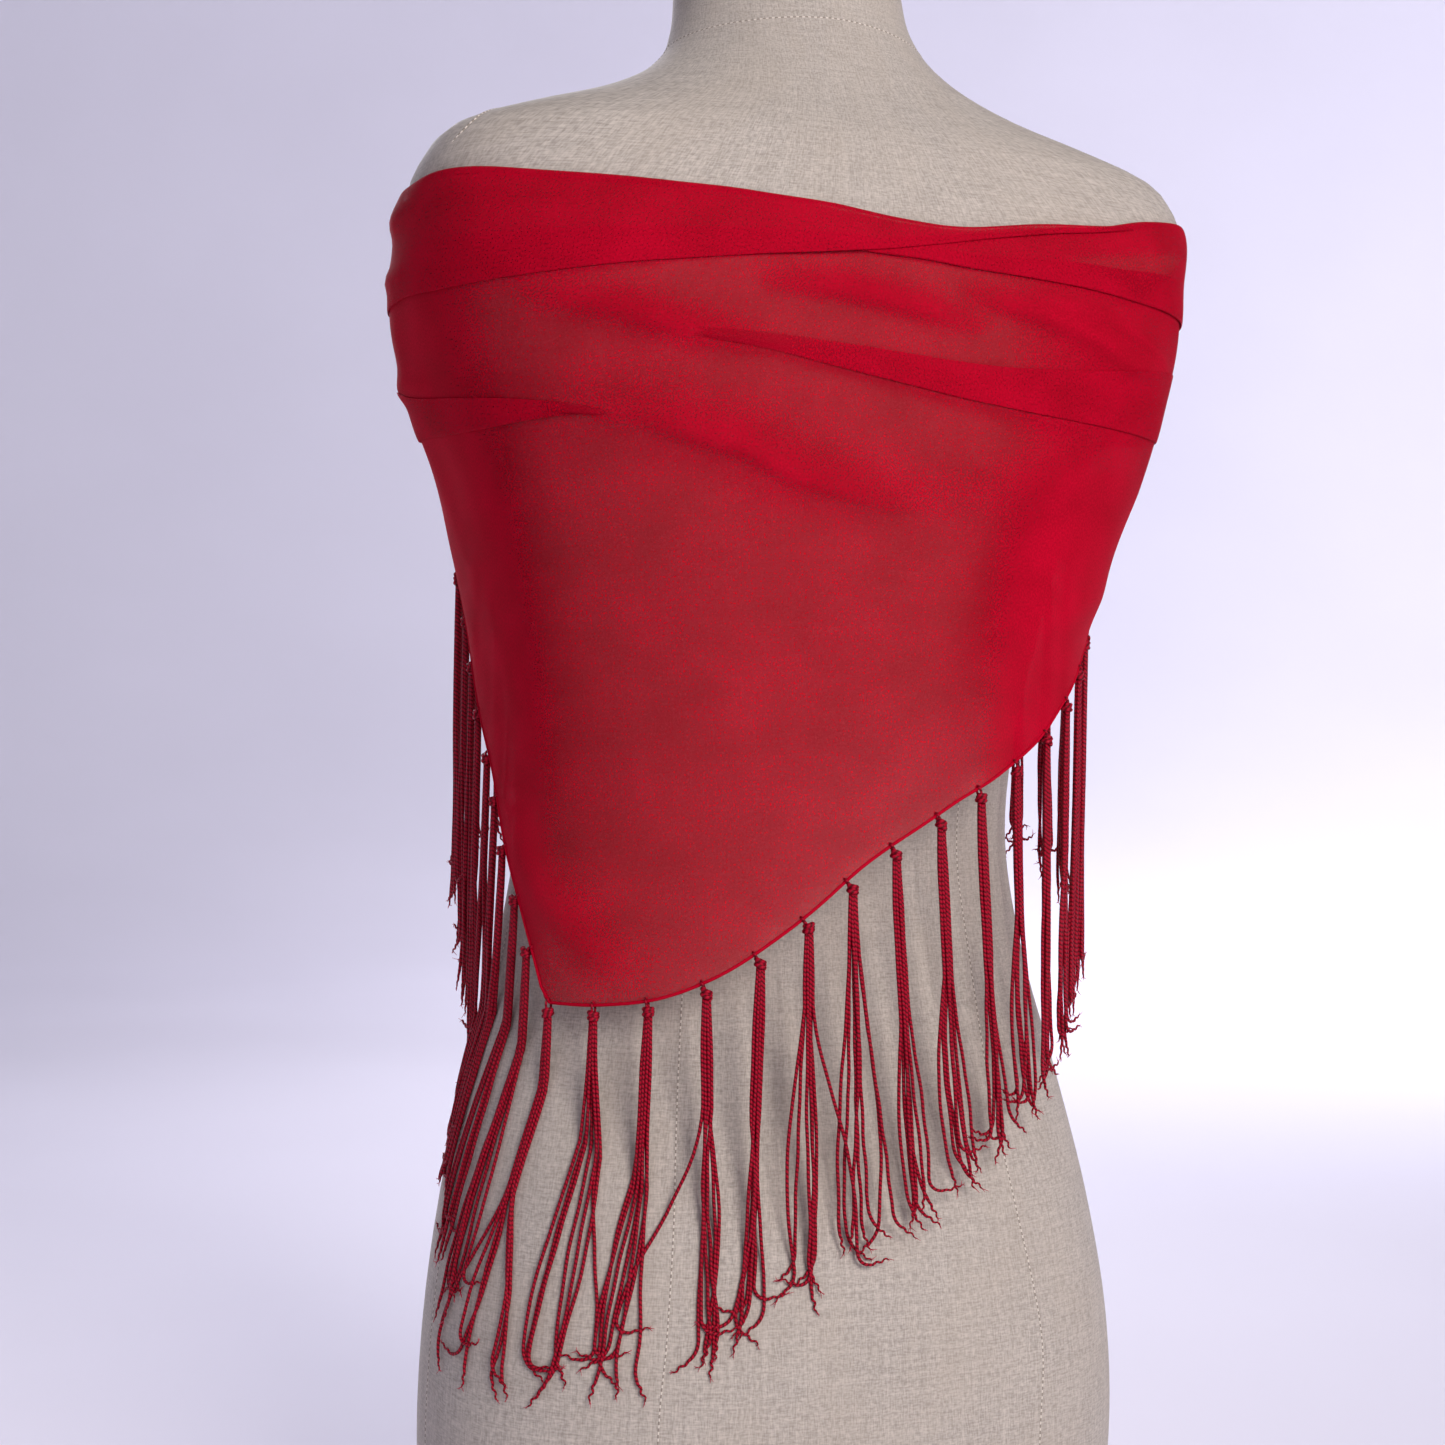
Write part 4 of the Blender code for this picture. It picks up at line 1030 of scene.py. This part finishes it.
# %% Floor
paper, tree, shader = new_material("matt_backdrop_paper", Roughness=0.95, Specular_IOR_Level=0.1)
place = add_node(tree, "ShaderNodeTexCoord").outputs["Object"]
noise = add_node(tree, "ShaderNodeTexNoise", Vector=place, Scale=1.5, Detail=2.0)
painted(tree, shader, blended(tree, noise.outputs["Fac"], colour("#D9D7E1"), colour("#E2E0EA")))
bpy.ops.object.select_all(action="DESELECT")
FLOOR_RADIUS, SWEEP_RADIUS, SWEEP_STEPS = 3.0, 2.6, 20
bpy.ops.mesh.primitive_circle_add(vertices=128, radius=FLOOR_RADIUS, fill_type="NGON")
floor = bpy.context.object
floor.name = "studio_floor"
give(floor, paper)
bpy.ops.object.mode_set(mode="EDIT")
bpy.ops.mesh.select_all(action="SELECT")
edge = FLOOR_RADIUS
for step in range(SWEEP_STEPS):
    before, after = (math.radians(90 * (step + k) / SWEEP_STEPS) for k in (0, 1))
    rise = SWEEP_RADIUS * (math.cos(before) - math.cos(after))
    reach = edge + SWEEP_RADIUS * (math.sin(after) - math.sin(before))
    bpy.ops.mesh.extrude_region_move(TRANSFORM_OT_translate={"value": (0, 0, rise)})
    bpy.ops.transform.resize(value=(reach / edge, reach / edge, 1.0))
    edge = reach
bpy.ops.mesh.extrude_region_move(TRANSFORM_OT_translate={"value": (0, 0, 2.0)})
bpy.ops.mesh.delete(type="ONLY_FACE")
bpy.ops.object.mode_set(mode="OBJECT")
floor.data.shade_smooth()
print("studio_floor", len(floor.data.polygons), "faces")

# %% [markdown]
# ## Camera and light
# The camera stands 1.15 m behind the form, level, 20 degrees to its left, and is turned by a
# degree as the picture is. A large soft lamp behind the camera lights the back, a weak one fills
# the left and one lights the front. Two more wash the wall and the floor at the right, where the
# photo is brightest, and the pale room does the rest.

# %% Camera and lamps
LENS = 58.5
CAMERA_PLACE = Vector((-0.414, -1.073, 0.455))
looking = Vector((0.342, 0.940, 0.0)).normalized()
roll = math.radians(1.2)
up0 = Vector((0, 0, 1))
right0 = looking.cross(up0).normalized()
right1 = right0 * math.cos(roll) + up0 * math.sin(roll)
up1 = up0 * math.cos(roll) - right0 * math.sin(roll)
camera_data = bpy.data.cameras.new("camera")
camera_data.lens = LENS
camera_data.sensor_width = 36.0
camera = bpy.data.objects.new("camera", camera_data)
bpy.context.scene.collection.objects.link(camera)
camera_turn = Matrix((right1, up1, -looking)).transposed()
camera.matrix_world = Matrix.Translation(CAMERA_PLACE) @ camera_turn.to_4x4()
bpy.context.scene.camera = camera


def soft_lamp(name, place, target, size, power, tint, spread):
    data = bpy.data.lights.new(name, "AREA")
    data.shape = "SQUARE"
    data.size = size
    data.energy = power
    data.color = colour(tint)[:3]
    data.spread = math.radians(spread)
    lamp = bpy.data.objects.new(name, data)
    bpy.context.scene.collection.objects.link(lamp)
    lamp.location = place
    lamp.visible_camera = False
    lamp.rotation_euler = (Vector(target) - Vector(place)).to_track_quat("-Z", "Y").to_euler()


# name, where it stands, where it points, its side in metres, watts, colour, spread in degrees
soft_lamp("key_lamp", (0.45, -3.0, 1.75), (0, 0, 0.45), 1.5, 88.0, "#FFF9F6", 180)
soft_lamp("fill_lamp", (-2.2, -1.4, 1.2), (0, 0, 0.45), 1.6, 1.5, "#EEF0FF", 180)
soft_lamp("front_lamp", (0.3, 2.9, 1.7), (0, 0, 0.5), 1.4, 14.0, "#F6F4FF", 60)
soft_lamp("wall_lamp", (2.6, 1.6, 2.4), (1.6, 4.5, 1.0), 1.5, 88.0, "#F4F2FF", 180)
soft_lamp("floor_lamp", (1.9, 2.2, 2.2), (1.5, 2.0, 0.0), 1.4, 12.0, "#F4F2FF", 95)

bpy.context.scene.view_settings.view_transform = "Standard"
world = bpy.data.worlds.new("pale_room")
bpy.context.scene.world = world
world.use_nodes = True
background = world.node_tree.nodes["Background"]
background.inputs["Color"].default_value = colour("#E9E8F6")
background.inputs["Strength"].default_value = 0.27
print("camera", [round(value, 3) for value in camera.location])
